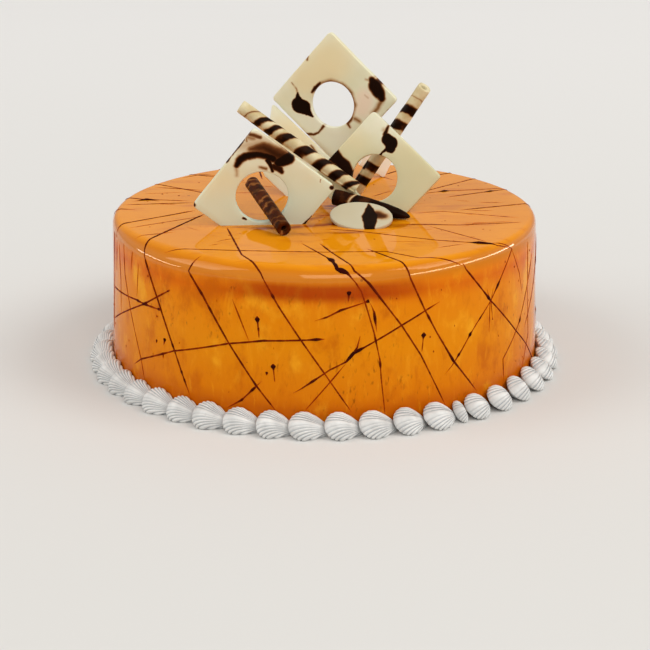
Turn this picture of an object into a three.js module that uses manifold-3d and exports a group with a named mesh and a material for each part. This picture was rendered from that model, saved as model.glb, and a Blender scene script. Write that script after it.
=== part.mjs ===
// Chocolate caramel cake: a glazed round cake with a piped cream border and a
// chocolate decoration of marbled squares, an oval and rolled sticks on top.
// Millimetres, +Z up, origin on the base under the cake's axis, front towards -Y.

import * as THREE from 'three';
import { mergeVertices } from 'three/addons/utils/BufferGeometryUtils.js';
import Module from 'manifold-3d';

const wasm = await Module();
wasm.setup();

// ---- driving dimensions ----

const cake = {
  height: 73.7,
  topRadius: 101.5, // just under the rounded rim
  baseRadius: 104, // the glaze runs thicker at the foot
  rimRound: 4.5,
  sides: 96,
};

const border = {
  shells: 46,
  reach: 11.6, // how far a shell's head stands out from the cake
  height: 10.4,
  ridges: 6,
  ridgeDepth: 0.08, // share of the shell's radius
  firstAngle: 0.97, // degrees from the front, where one shell's head begins
  narrowShell: 4, // the last one piped, squeezed in where the ring closes
  narrowWidth: 0.45,
  widthSwing: 0.04,
};

// How full a shell is along its length, from the head to the tail.
const shellProfile = [
  [0.0, 0.64],
  [0.04, 0.82],
  [0.13, 0.94],
  [0.33, 1.0],
  [0.6, 0.94],
  [0.84, 0.78],
];

const gap = 0.3; // between pieces that touch
const plateThickness = 3;
const cornerRound = 2.2;
const bevel = 0.5;

// Squares stand on a corner. `at` is the middle of the front face, with its height
// above the cake; turn, lean and roll are degrees: right, back and clockwise.
const squares = [
  { name: 'left_square', side: 47.2, hole: 24.4, holeAt: [-0.9, 0], at: [-27.8, -31.9, 13.7], turn: 3.9, lean: -5.6, roll: -6.9 },
  { name: 'right_square', side: 45.4, hole: 22.4, holeAt: [-0.3, 0], at: [24.3, -0.6, 15.1], turn: -15, lean: 12.2, roll: -4.7 },
  { name: 'top_square', side: 47, hole: 22.6, holeAt: [-0.7, -2.8], at: [4.4, 30.8, 47.2], turn: -21.9, lean: -0.7, roll: -3.3 },
];

// A square with its left side cut off, leaning behind the left one.
const cutSquare = { top: [-26, 41, 43.3], turn: -15, lean: 19, side: 47, width: 29, edgeSlope: 38.4, cutSlope: 87 };

// A small offcut standing at the back of the right square.
const offcut = { at: [31, 63, -0.2], turn: 10, lean: 4, width: 15, height: 23, tip: 28 };

const oval = { at: [17.2, -28.3, 4.1], width: 29.7, depth: 21.6, tilt: 20, turn: -8, roll: 8, thickness: 2 };

const rollBore = 1.5;
const rollBoreDepth = 5;

// How full a tapered stick is along its length, from the tip.
const taperProfile = [
  [0.02, 0.2],
  [0.06, 0.4],
  [0.14, 0.58],
  [0.3, 0.76],
  [0.6, 0.92],
];

// Rolled sticks, from the low end to the high end, heights above the cake.
const rolls = [
  { name: 'striped_roll_long', radius: 3.6, from: [15.5, -3.4, 10.6], to: [-39.9, 6, 48.5], dark: false },
  { name: 'striped_roll_back', radius: 3.6, from: [15.6, 22, 3.2], to: [47.2, 0.5, 58.7], dark: false },
  { name: 'dark_roll_front', radius: 3.6, from: [-18, -50.4, 3.5], to: [-34.6, -1.2, 12.9], dark: true },
  { name: 'dark_roll_lying', radius: 4.3, from: [40.5, -21.9, 1.4], to: [5.1, -6.2, 7.3], dark: true, tapered: true },
];

// ---- materials ----

function surface(color, roughness) {
  return new THREE.MeshStandardMaterial({ color, roughness, metalness: 0 });
}

const glazeLook = surface(0xd5821c, 0.08);
const creamLook = surface(0xf4f1ec, 0.5);
const whiteChocolateLook = surface(0xeae0c0, 0.35);
const darkChocolateLook = surface(0x3a1c10, 0.35);
const stripedLook = surface(0x9a7a58, 0.35);

// ---- solids ----

function toManifold(geometry) {
  const plain = geometry.clone();
  plain.deleteAttribute('normal');
  plain.deleteAttribute('uv');
  const merged = mergeVertices(plain, 1e-4);
  return new wasm.Manifold(
    new wasm.Mesh({
      numProp: 3,
      vertProperties: new Float32Array(merged.attributes.position.array),
      triVerts: new Uint32Array(merged.index.array),
    }),
  );
}

function fromManifold(solid) {
  const mesh = solid.getMesh();
  const geometry = new THREE.BufferGeometry();
  geometry.setAttribute('position', new THREE.BufferAttribute(new Float32Array(mesh.vertProperties), 3));
  geometry.setIndex(new THREE.BufferAttribute(new Uint32Array(mesh.triVerts), 1));
  geometry.computeVertexNormals();
  return geometry;
}

// Cuts off what would stand in the cake, `gap` above its top.
function trimAtCake(mesh) {
  mesh.updateMatrix();
  const placed = mesh.geometry.clone().applyMatrix4(mesh.matrix);
  const level = cake.height + gap;
  const cutter = wasm.Manifold.cube([300, 300, level], false).translate([-150, -150, 0]);
  const trimmed = fromManifold(toManifold(placed).subtract(cutter));
  mesh.geometry = trimmed.applyMatrix4(mesh.matrix.clone().invert());
  return mesh;
}

function namedMesh(name, geometry, material) {
  const mesh = new THREE.Mesh(geometry, material);
  mesh.name = name;
  return mesh;
}

function onCake([x, y, up]) {
  return new THREE.Vector3(x, y, cake.height + up);
}

// A flat plate, front face in the XZ plane and its thickness towards +Y.
function plateGeometry(outline, thickness) {
  const geometry = new THREE.ExtrudeGeometry(outline, {
    depth: thickness - 2 * bevel,
    bevelEnabled: true,
    bevelThickness: bevel,
    bevelSize: bevel,
    bevelOffset: -bevel,
    bevelSegments: 1,
    curveSegments: 3,
  });
  geometry.translate(0, 0, bevel - thickness);
  return geometry.rotateX(Math.PI / 2);
}

function stand(mesh, { at, turn, lean, roll }) {
  mesh.position.copy(onCake(at));
  mesh.rotation.set(
    THREE.MathUtils.degToRad(-lean),
    THREE.MathUtils.degToRad(roll),
    THREE.MathUtils.degToRad(turn),
    'ZXY',
  );
  return mesh;
}

function ringPoints(width, depth, count) {
  const points = [];
  for (let i = 0; i < count; i++) {
    const angle = (2 * Math.PI * i) / count;
    points.push(new THREE.Vector2((width / 2) * Math.cos(angle), (depth / 2) * Math.sin(angle)));
  }
  return points;
}

// An outline through the given corners, each rounded off.
function roundedOutline(corners, radius) {
  const shape = new THREE.Shape();
  const count = corners.length;
  corners.forEach((corner, i) => {
    const before = corners[(i + count - 1) % count];
    const after = corners[(i + 1) % count];
    const start = corner.clone().add(before.clone().sub(corner).setLength(radius));
    const end = corner.clone().add(after.clone().sub(corner).setLength(radius));
    if (i === 0) shape.moveTo(start.x, start.y);
    else shape.lineTo(start.x, start.y);
    shape.quadraticCurveTo(corner.x, corner.y, end.x, end.y);
  });
  shape.closePath();
  return shape;
}

function glazedCake() {
  const { height, topRadius, baseRadius, rimRound, sides } = cake;
  const profile = [new THREE.Vector2(0, 0), new THREE.Vector2(baseRadius, 0)];
  profile.push(new THREE.Vector2((topRadius + baseRadius) / 2, height / 2));
  const rimSteps = 5;
  for (let i = 0; i <= rimSteps; i++) {
    const angle = (i / rimSteps) * (Math.PI / 2);
    profile.push(
      new THREE.Vector2(
        topRadius - rimRound + rimRound * Math.cos(angle),
        height - rimRound + rimRound * Math.sin(angle),
      ),
    );
  }
  profile.push(new THREE.Vector2(0, height));
  const geometry = new THREE.LatheGeometry(profile, sides).rotateX(Math.PI / 2);
  return namedMesh('glazed_cake', geometry, glazeLook);
}

// Where each shell begins, in degrees round from the front, and how long it is.
function shellSpans() {
  const widths = [];
  for (let i = 0; i < border.shells; i++) {
    const swing = 1 + border.widthSwing * Math.sin(i * 2.4);
    widths.push(i === border.narrowShell ? border.narrowWidth : swing);
  }
  const total = widths.reduce((sum, width) => sum + width, 0);
  const spans = [];
  let angle = border.firstAngle;
  for (const width of widths) {
    const span = (width / total) * 360;
    spans.push({ angle, span, fullness: Math.min(1, 0.55 + 0.45 * width) });
    angle += span;
  }
  return spans;
}

// One cut through a shell: flat on the base and against the cake, ridged outside.
function shellSection(fullness) {
  const inner = cake.baseRadius + gap;
  const centre = { out: 0.46 * border.reach, up: 0.47 * border.height };
  const radius = { out: 0.54 * border.reach, up: 0.53 * border.height };
  const points = [[inner, 0], [inner + 0.76 * border.reach * fullness, 0]];
  const steps = border.ridges * 2;
  const fromAngle = THREE.MathUtils.degToRad(-48);
  const toAngle = THREE.MathUtils.degToRad(142);
  for (let i = 0; i <= steps; i++) {
    const angle = fromAngle + ((toAngle - fromAngle) * i) / steps;
    const ridge = i % 2 ? 1 : 1 - border.ridgeDepth;
    points.push([
      inner + (centre.out + radius.out * ridge * Math.cos(angle)) * fullness,
      (centre.up + radius.up * ridge * Math.sin(angle)) * fullness,
    ]);
  }
  points.push([inner, 0.62 * border.height * fullness]);
  return points;
}

// The border is one ring of piped cream, swelling and narrowing from shell to shell.
function creamBorder() {
  const rings = [];
  for (const { angle, span, fullness } of shellSpans()) {
    for (const [along, full] of shellProfile) {
      const around = THREE.MathUtils.degToRad(angle + along * span - 90);
      rings.push(
        shellSection(full * fullness).map(([out, up]) => [out * Math.cos(around), out * Math.sin(around), up]),
      );
    }
  }
  const perRing = rings[0].length;
  const index = [];
  for (let i = 0; i < rings.length; i++) {
    for (let j = 0; j < perRing; j++) {
      const a = i * perRing + j;
      const b = i * perRing + ((j + 1) % perRing);
      const c = ((i + 1) % rings.length) * perRing + j;
      const d = ((i + 1) % rings.length) * perRing + ((j + 1) % perRing);
      index.push(a, c, b, b, c, d);
    }
  }
  const geometry = new THREE.BufferGeometry();
  geometry.setAttribute('position', new THREE.Float32BufferAttribute(rings.flat(2), 3));
  geometry.setIndex(index);
  geometry.computeVertexNormals();
  return namedMesh('cream_border', geometry, creamLook);
}

function marbledSquare({ name, side, hole, holeAt, at, turn, lean, roll }) {
  const half = side / Math.SQRT2;
  const corners = [
    new THREE.Vector2(0, half),
    new THREE.Vector2(-half, 0),
    new THREE.Vector2(0, -half),
    new THREE.Vector2(half, 0),
  ];
  const outline = roundedOutline(corners, cornerRound);
  const rim = ringPoints(hole, hole, 36).reverse();
  outline.holes.push(new THREE.Path(rim.map((point) => point.add(new THREE.Vector2(...holeAt)))));
  const mesh = namedMesh(name, plateGeometry(outline, plateThickness), whiteChocolateLook);
  return trimAtCake(stand(mesh, { at, turn, lean, roll }));
}

function cutSquarePlate() {
  const { top, turn, lean, side, width, edgeSlope, cutSlope } = cutSquare;
  const edge = THREE.MathUtils.degToRad(edgeSlope);
  const along = new THREE.Vector2(Math.cos(edge), -Math.sin(edge));
  const down = new THREE.Vector2(-Math.sin(edge), -Math.cos(edge));
  const cut = THREE.MathUtils.degToRad(cutSlope);
  const cutLine = new THREE.Vector2(-Math.cos(cut), -Math.sin(cut));
  const right = along.clone().multiplyScalar(side);
  const corners = [
    new THREE.Vector2(0, 0),
    cutLine.clone().multiplyScalar(width / cutLine.dot(down)),
    right.clone().addScaledVector(down, width),
    right,
  ];
  const geometry = plateGeometry(roundedOutline(corners, cornerRound), plateThickness);
  const mesh = namedMesh('cut_square', geometry, whiteChocolateLook);
  return trimAtCake(stand(mesh, { at: top, turn, lean, roll: 0 }));
}

function backOffcut() {
  const { at, turn, lean, width, height, tip } = offcut;
  const corners = [
    new THREE.Vector2(0, 0),
    new THREE.Vector2(0, height),
    new THREE.Vector2(-width, height),
    new THREE.Vector2(-width, 0),
  ];
  const geometry = plateGeometry(roundedOutline(corners, 1), plateThickness);
  const mesh = namedMesh('back_offcut', geometry, whiteChocolateLook);
  return trimAtCake(stand(mesh, { at, turn, lean, roll: tip }));
}

function chocolateOval() {
  const outline = new THREE.Shape(ringPoints(oval.width, oval.depth, 32));
  const mesh = namedMesh('chocolate_oval', plateGeometry(outline, oval.thickness), whiteChocolateLook);
  return trimAtCake(stand(mesh, { at: oval.at, turn: oval.turn, lean: 90 - oval.tilt, roll: oval.roll }));
}

// A rolled stick: round, with the open middle of the roll at its ends. A tapered
// one closes to a point at its low end.
function rolledStick({ name, radius, from, to, dark, tapered }) {
  const start = onCake(from);
  const axis = onCake(to).sub(start);
  const length = axis.length();
  const highEnd = [
    [radius, length],
    [rollBore, length],
    [rollBore, length - rollBoreDepth],
    [0, length - rollBoreDepth],
  ];
  const plainEnd = [
    [0, rollBoreDepth],
    [rollBore, rollBoreDepth],
    [rollBore, 0],
    [radius, 0],
  ];
  const tip = [[0, 0], ...taperProfile.map(([along, full]) => [full * radius, along * length])];
  const profile = [...(tapered ? tip : plainEnd), ...highEnd].map(([out, along]) => new THREE.Vector2(out, along));
  const mesh = namedMesh(name, new THREE.LatheGeometry(profile, 18), dark ? darkChocolateLook : stripedLook);
  mesh.position.copy(start);
  mesh.quaternion.setFromUnitVectors(new THREE.Vector3(0, 1, 0), axis.normalize());
  return trimAtCake(mesh);
}

const part = new THREE.Group();
part.add(glazedCake(), creamBorder());
part.add(...squares.map(marbledSquare), cutSquarePlate(), backOffcut(), chocolateOval());
part.add(...rolls.map(rolledStick));

export default part;
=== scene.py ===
import math
from random import Random

import bmesh
import bpy
from mathutils import Matrix, Vector, noise


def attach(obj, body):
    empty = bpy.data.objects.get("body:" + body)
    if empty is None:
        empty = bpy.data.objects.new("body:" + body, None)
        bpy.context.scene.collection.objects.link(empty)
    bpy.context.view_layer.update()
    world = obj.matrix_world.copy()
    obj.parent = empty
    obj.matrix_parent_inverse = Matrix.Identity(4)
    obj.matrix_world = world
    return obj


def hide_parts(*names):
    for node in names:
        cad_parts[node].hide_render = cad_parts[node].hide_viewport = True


# A caramel-glazed cake with a piped cream border and a chocolate decoration.
# Sizes below are millimetres unless a name says otherwise; the scene is in metres.

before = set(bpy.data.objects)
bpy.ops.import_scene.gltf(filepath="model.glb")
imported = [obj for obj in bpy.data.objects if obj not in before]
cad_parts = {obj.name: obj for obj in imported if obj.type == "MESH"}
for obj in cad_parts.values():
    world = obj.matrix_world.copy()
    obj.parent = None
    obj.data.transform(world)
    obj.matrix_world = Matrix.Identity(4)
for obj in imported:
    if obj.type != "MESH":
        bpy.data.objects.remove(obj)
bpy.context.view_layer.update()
scene = bpy.context.scene
scene.view_settings.view_transform = "Standard"
mm = 0.001
print("frame loaded")

cake = {
    "height": 73.7,
    "topRadius": 101.5,
    "baseRadius": 104.0,
    "rimRound": 3.8,
    "columns": 320,
    "sideRows": 20,
    "rimRows": 16,
    "wave": 0.12,       # how uneven the poured glaze is
    "waveScale": 3,     # of the unevenness round the side, and per mm up it
    "waveClimb": 0.03,
    # degrees from the front, spread, and how much rounder the edge is there
    "rimSwell": [(5, 40, 2.6), (-44, 26, 3.6)],
}
cakeTop = cake["height"]


# making meshes

def addObject(name, data):
    made = bpy.data.objects.new(name, data)
    scene.collection.objects.link(made)
    return made


def gridPiece(name, rows, mark, ringRows=False):
    # Skins rows of points; mark gives a point's place on the piece's own map.
    columns = len(rows[0])
    points = [point * mm for row in rows for point in row]
    faces = []
    marks = []
    lastRow = len(rows) if ringRows else len(rows) - 1
    for i in range(lastRow):
        for j in range(columns):
            nextRow = (i + 1) % len(rows)
            nextColumn = (j + 1) % columns
            faces.append((
                i * columns + j,
                i * columns + nextColumn,
                nextRow * columns + nextColumn,
                nextRow * columns + j,
            ))
            marks.append((mark(i, j), mark(i, j + 1), mark(i + 1, j + 1), mark(i + 1, j)))
    mesh = bpy.data.meshes.new(name)
    mesh.from_pydata(points, [], faces)
    layer = mesh.uv_layers.new(name="place")
    for face, corners in zip(mesh.polygons, marks):
        for loop, corner in zip(face.loop_indices, corners):
            layer.data[loop].uv = corner
    piece = addObject(name, mesh)
    tidyMesh(piece)
    return piece


def tidyMesh(piece, foot=None):
    # Merges doubles, and cuts off and closes what lies below the foot's height, where it has one.
    shape = bmesh.new()
    shape.from_mesh(piece.data)
    bmesh.ops.remove_doubles(shape, verts=shape.verts, dist=1e-6)
    if foot is not None:
        bmesh.ops.bisect_plane(
            shape,
            geom=shape.verts[:] + shape.edges[:] + shape.faces[:],
            plane_co=Vector((0, 0, foot)),
            plane_no=Vector((0, 0, -1)),
            clear_outer=True,
            dist=1e-7,
        )
        rim = [edge for edge in shape.edges if edge.is_boundary]
        if rim:
            bmesh.ops.holes_fill(shape, edges=rim, sides=0)
    bmesh.ops.recalc_face_normals(shape, faces=shape.faces)
    for face in shape.faces:
        face.smooth = True
    shape.to_mesh(piece.data)
    shape.free()


def softenEdges(piece, angle):
    piece.data.set_sharp_from_angle(angle=math.radians(angle))


def finish(piece, material, slot, *nodes):
    piece.data.materials.clear()
    piece.data.materials.append(material)
    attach(piece, "root")
    if nodes:
        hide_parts(*nodes)
    return piece


# making materials

mapSpan = 100.0  # millimetres of a piece that its own map spans


def addNode(tree, kind, inputs=None, **settings):
    made = tree.nodes.new(kind)
    for name, value in settings.items():
        setattr(made, name, value)
    for name, value in (inputs or {}).items():
        if isinstance(value, bpy.types.NodeSocket):
            tree.links.new(value, made.inputs[name])
        else:
            made.inputs[name].default_value = value
    return made


def calculate(tree, operation, first, second=0.0, third=0.0, clamp=False):
    made = addNode(
        tree, "ShaderNodeMath", {0: first, 1: second, 2: third}, operation=operation, use_clamp=clamp
    )
    return made.outputs[0]


def times(tree, first, second):
    return calculate(tree, "MULTIPLY", first, second)


def centred(tree, value):
    return calculate(tree, "SUBTRACT", value, 0.5)


def joined(tree, mask, another):
    # The stronger of two masks, where there may be no first one yet.
    return another if mask is None else calculate(tree, "MAXIMUM", mask, another)


def vectorMath(tree, operation, *inputs, result="Vector"):
    made = addNode(tree, "ShaderNodeVectorMath", dict(enumerate(inputs)), operation=operation)
    return made.outputs[result]


def enlarged(tree, vector, factor):
    made = addNode(tree, "ShaderNodeVectorMath", {0: vector, "Scale": factor}, operation="SCALE")
    return made.outputs["Vector"]


def parted(tree, vector):
    # A vector's x, y and z.
    return addNode(tree, "ShaderNodeSeparateXYZ", {0: vector}).outputs


def stretched(tree, place, scale):
    return addNode(tree, "ShaderNodeMapping", {"Vector": place, "Scale": scale}).outputs[0]


def noiseOf(tree, place, scale, detail=2.0, **more):
    inputs = {"Vector": place, "Scale": scale, "Detail": detail, **more}
    return addNode(tree, "ShaderNodeTexNoise", inputs).outputs[0]


def rangeOf(tree, value, low, high, toLow=0.0, toHigh=1.0, smooth=True):
    made = addNode(
        tree,
        "ShaderNodeMapRange",
        {"Value": value, "From Min": low, "From Max": high, "To Min": toLow, "To Max": toHigh},
        interpolation_type="SMOOTHSTEP" if smooth else "LINEAR",
    )
    return made.outputs[0]


def blend(tree, amount, first, second):
    made = addNode(tree, "ShaderNodeMix", {0: amount, 6: first, 7: second}, data_type="RGBA")
    return made.outputs[2]


def colour(red, green, blue):
    # An sRGB colour from 0 to 255 as the shader wants it.
    def toLinear(level):
        level /= 255
        return level / 12.92 if level <= 0.04045 else ((level + 0.055) / 1.055) ** 2.4

    return (toLinear(red), toLinear(green), toLinear(blue), 1.0)


def ramp(tree, value, stops):
    made = addNode(tree, "ShaderNodeValToRGB", {"Fac": value})
    elements = made.color_ramp.elements
    while len(elements) < len(stops):
        elements.new(0.5)
    for element, (position, tone) in zip(elements, stops):
        element.position = position
        element.color = tone
    return made.outputs["Color"]


def stopsOf(tones, order):
    # A ramp's stops from a dictionary's own colours, in the order that it lists.
    return [(share, tones[name]) for share, name in tones[order]]


def newMaterial(name):
    material = bpy.data.materials.new(name)
    material.use_nodes = True
    return material, material.node_tree, material.node_tree.nodes["Principled BSDF"]


def addRelief(tree, shader, relief, strength, distance):
    bump = addNode(tree, "ShaderNodeBump", {"Height": relief, "Strength": strength, "Distance": distance})
    tree.links.new(bump.outputs[0], shader.inputs["Normal"])


def newGroup(name, inputs, outputs, kind="ShaderNodeTree"):
    tree = bpy.data.node_groups.new(name, kind)
    for socket, (socketKind, value) in inputs.items():
        made = tree.interface.new_socket(socket, in_out="INPUT", socket_type=socketKind)
        if value is not None:
            made.default_value = value
    for socket, socketKind in outputs.items():
        tree.interface.new_socket(socket, in_out="OUTPUT", socket_type=socketKind)
    return tree, tree.nodes.new("NodeGroupInput").outputs, tree.nodes.new("NodeGroupOutput")


def useGroup(tree, group, inputs):
    return addNode(tree, "ShaderNodeGroup", inputs, node_tree=group).outputs


def makeStrokeGroup():
    # A run of dark chocolate on a plate: a line from Start to End on the plate's own map, in mm.
    tree, given, result = newGroup(
        "chocolateStroke",
        {
            "Place": ("NodeSocketVector", None),
            "Start": ("NodeSocketVector", (0, 0, 0)),
            "End": ("NodeSocketVector", (0, 0, 0)),
            "Start Width": ("NodeSocketFloat", 1.0),
            "End Width": ("NodeSocketFloat", 1.0),
            "Softness": ("NodeSocketFloat", 0.3),
            "Strength": ("NodeSocketFloat", 1.0),
        },
        {"Mask": "NodeSocketFloat"},
    )
    reach = vectorMath(tree, "SUBTRACT", given["End"], given["Start"])
    offset = vectorMath(tree, "SUBTRACT", given["Place"], given["Start"])
    along = vectorMath(tree, "DOT_PRODUCT", offset, reach, result="Value")
    whole = vectorMath(tree, "DOT_PRODUCT", reach, reach, result="Value")
    share = calculate(tree, "DIVIDE", along, whole, clamp=True)
    gap = vectorMath(tree, "SUBTRACT", offset, enlarged(tree, reach, share))
    away = vectorMath(tree, "LENGTH", gap, result="Value")
    width = rangeOf(tree, share, 0.0, 1.0, given["Start Width"], given["End Width"], smooth=False)
    inner = calculate(tree, "SUBTRACT", width, given["Softness"])
    outer = calculate(tree, "ADD", width, given["Softness"])
    mask = times(tree, rangeOf(tree, away, inner, outer, 1.0, 0.0), given["Strength"])
    tree.links.new(mask, result.inputs["Mask"])
    return tree


def makeConfectionGroup():
    # The faint cloudiness and fine unevenness of set chocolate and cream.
    tree, given, result = newGroup(
        "confectionGrain",
        {
            "Place": ("NodeSocketVector", None),
            "Cloud Scale": ("NodeSocketFloat", 60.0),
            "Grain Scale": ("NodeSocketFloat", 900.0),
        },
        {"Cloud": "NodeSocketFloat", "Relief": "NodeSocketFloat"},
    )
    cloud = noiseOf(tree, given["Place"], given["Cloud Scale"], 3.0)
    grain = noiseOf(tree, given["Place"], given["Grain Scale"])
    relief = calculate(tree, "MULTIPLY_ADD", cloud, 0.7, times(tree, grain, 0.3))
    tree.links.new(rangeOf(tree, cloud, 0.3, 0.7), result.inputs["Cloud"])
    tree.links.new(relief, result.inputs["Relief"])
    return tree


strokeGroup = makeStrokeGroup()
confectionGroup = makeConfectionGroup()


def strokeMask(tree, place, start, end, soft, strength):
    # Start and end are across, up and width, in mm.
    return useGroup(tree, strokeGroup, {
        "Place": place, "Start": (*start[:2], 0), "End": (*end[:2], 0),
        "Start Width": start[2], "End Width": end[2], "Softness": soft, "Strength": strength,
    })["Mask"]


def grainOf(tree, place, cloudScale, grainScale):
    scales = {"Place": place, "Cloud Scale": cloudScale, "Grain Scale": grainScale}
    return useGroup(tree, confectionGroup, scales)


def objectPlace(tree):
    return addNode(tree, "ShaderNodeTexCoord").outputs["Object"]


def ownMap(tree):
    return addNode(tree, "ShaderNodeUVMap", uv_map="place").outputs[0]


def ownPlace(tree, wobbled=False):
    # The piece's own map in millimetres from its middle, pushed about by noise where asked.
    place = enlarged(tree, vectorMath(tree, "SUBTRACT", ownMap(tree), (0.5, 0.5, 0.0)), mapSpan)
    if not wobbled:
        return place
    for scale, strength in ((0.16, 1.5), (0.6, 0.5)):
        wander = addNode(tree, "ShaderNodeTexNoise", {"Vector": place, "Scale": scale, "Detail": 2.0})
        push = vectorMath(tree, "SUBTRACT", wander.outputs["Color"], (0.5, 0.5, 0.5))
        place = vectorMath(tree, "ADD", place, enlarged(tree, push, strength))
    return place


def ownMark(across, up):
    return (across / mapSpan + 0.5, up / mapSpan + 0.5)


glaze = {
    "foot": colour(196, 96, 6),
    "low": colour(214, 118, 6),
    "middle": colour(222, 132, 8),
    "high": colour(222, 126, 8),
    "underRim": colour(212, 102, 5),
    "rim": colour(220, 118, 12),
    "top": colour(226, 141, 13),
    "crown": colour(204, 118, 18),
    "deep": colour(188, 88, 4),
    "bright": colour(238, 162, 30),
    "rimShade": colour(158, 42, 1),
    "fleck": colour(120, 50, 2),
    "darkened": colour(132, 38, 2),
    # share of the cake's height, and the tone there; underRim is painted shade under the edge, and rim and
    # crown are painted light and shade over the rounded edge
    "byHeight": [
        (0.0, "foot"), (0.13, "foot"), (0.22, "low"), (0.5, "middle"), (0.75, "high"), (0.84, "underRim"),
        (0.885, "rim"), (0.935, "crown"), (0.975, "crown"), (1.0, "top"),
    ],
    # shares of the height between which the marks of the side end, and those of the top begin
    "sideEnds": (0.95, 0.87),
    "topBegins": (0.97, 0.995),
    # from and to which noise a mark grows, and how strong it is there
    "deepClouds": (0.53, 0.72, 0.0, 0.7),
    "brightClouds": (0.47, 0.3, 0.0, 0.7),
    "deepFeathers": (0.52, 0.74, 0.0, 0.42),
    "brightFeathers": (0.46, 0.28, 0.0, 0.32),
    "streaks": (0.5, 0.75, 0.0, 0.5),
    "brokenShade": (0.4, 0.6, 0.05, 1.0),
    "flecks": (0.6, 0.78, 0.0, 0.6),
    "fleckPlaces": (0.42, 0.62),
    # runs of painted shadow and reflection of the decoration on the top: across, back, width in mm
    "shadeRuns": [
        [(-46, -34, 1.4), (-30, -37, 1.8), (-12, -34, 2.4)],
        [(-8, -33, 1.8), (4, -30, 3), (16, -34, 2.4), (28, -31, 2)],
        [(24, -24, 2), (42, -21, 2)],
        [(28, -2, 3), (44, -8, 2)],
        [(4, 2, 5), (16, 14, 5)],
        [(-12, -20, 4), (4, -12, 5)],
        [(-24, -44, 1), (-4, -47, 1.4), (16, -43, 1)],
        [(30, -33, 1.4), (50, -29, 1.2)],
    ],
    "shadeSoftness": 3.0,
    # the painted shade band under the rim at the front: where it begins and is full towards the front
    # (metres), and up and down
    "rimShadeFront": (-0.088, -0.1005),
    "rimShadeFoot": (0.77, 0.835),
    "rimShadeHead": (0.925, 0.875),
    "rimShadeStrength": 0.75,
    "dotSize": 0.075,
    "dotStrength": 0.55,
    "dotRarity": 0.8,
    "roughness": 0.03,
    "sheen": 0.068,
    "rimSheen": 0.6,
    # how far upwards the glaze faces where the wet edge begins, and where it ends
    "edgeBegins": (0.03, 0.1),
    "edgeEnds": (0.8, 0.45),
    "tint": (1.0, 0.78, 0.5, 1.0),
}


def glazeSideTone(tree, place, onSide, tone):
    # Clouds in the glaze, and feathers that run down it.
    clouds = noiseOf(tree, stretched(tree, place, (1.0, 1.0, 0.7)), 60.0, 6.0, Roughness=0.6)
    running = stretched(tree, place, (1.0, 1.0, 0.3))
    feathers = noiseOf(tree, running, 210.0, 5.0, Roughness=0.65, Distortion=0.6)
    for marks, kind in ((clouds, "Clouds"), (feathers, "Feathers")):
        for shade in ("deep", "bright"):
            mask = times(tree, rangeOf(tree, marks, *glaze[shade + kind]), onSide)
            tone = blend(tree, mask, tone, glaze[shade])
    return tone


def glazeTopTone(tree, place, onTop, tone):
    # Streaked a little on the level top, with painted shadow and reflection where the decoration stands.
    layers = noiseOf(tree, stretched(tree, place, (0.35, 1.0, 1.0)), 120.0, 6.0, Roughness=0.65)
    tone = blend(tree, times(tree, rangeOf(tree, layers, *glaze["streaks"]), onTop), tone, glaze["deep"])
    level = stretched(tree, place, (1 / mm, 1 / mm, 0.0))
    paintedShade = None
    for path in glaze["shadeRuns"]:
        for start, end in zip(path, path[1:]):
            mask = strokeMask(tree, level, start, end, glaze["shadeSoftness"], 1.0)
            paintedShade = joined(tree, paintedShade, mask)
    broken = times(tree, rangeOf(tree, layers, *glaze["brokenShade"]), onTop)
    return blend(tree, times(tree, paintedShade, broken), tone, glaze["darkened"])


def glazeRimShadeTone(tree, back, height, tone):
    # A darker band below the rim at the front: painted shade, the dimmer reflection under the edge.
    forward = rangeOf(tree, back, *glaze["rimShadeFront"])
    foot = rangeOf(tree, height, *glaze["rimShadeFoot"])
    head = rangeOf(tree, height, *glaze["rimShadeHead"])
    band = times(tree, times(tree, foot, head), forward)
    return blend(tree, times(tree, band, glaze["rimShadeStrength"]), tone, glaze["rimShade"])


def glazeSpeckTone(tree, place, onSide, tone):
    # Short flecks in patches on the side, and a few dots all over.
    drawn = noiseOf(tree, stretched(tree, place, (1.0, 1.0, 0.4)), 620.0)
    patches = rangeOf(tree, noiseOf(tree, place, 30.0, 1.0), *glaze["fleckPlaces"])
    flecks = times(tree, rangeOf(tree, drawn, *glaze["flecks"]), patches)
    tone = blend(tree, times(tree, flecks, onSide), tone, glaze["fleck"])
    dots = addNode(tree, "ShaderNodeTexVoronoi", {"Vector": place, "Scale": 120.0, "Randomness": 1.0})
    chance = addNode(tree, "ShaderNodeSeparateColor", {0: dots.outputs["Color"]}).outputs
    size = times(tree, chance[1], glaze["dotSize"])
    outside = times(tree, size, 1.6)
    dot = rangeOf(tree, dots.outputs["Distance"], size, outside, glaze["dotStrength"], 0.0)
    rare = calculate(tree, "GREATER_THAN", chance[0], glaze["dotRarity"])
    return blend(tree, times(tree, dot, rare), tone, glaze["fleck"])


def glazeSheen(tree):
    # Wettest where the edge turns over.
    upward = parted(tree, addNode(tree, "ShaderNodeNewGeometry").outputs["Normal"])[2]
    begun = rangeOf(tree, upward, *glaze["edgeBegins"])
    crown = times(tree, begun, rangeOf(tree, upward, *glaze["edgeEnds"]))
    return rangeOf(tree, crown, 0.0, 1.0, glaze["sheen"], glaze["rimSheen"], smooth=False)


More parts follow.
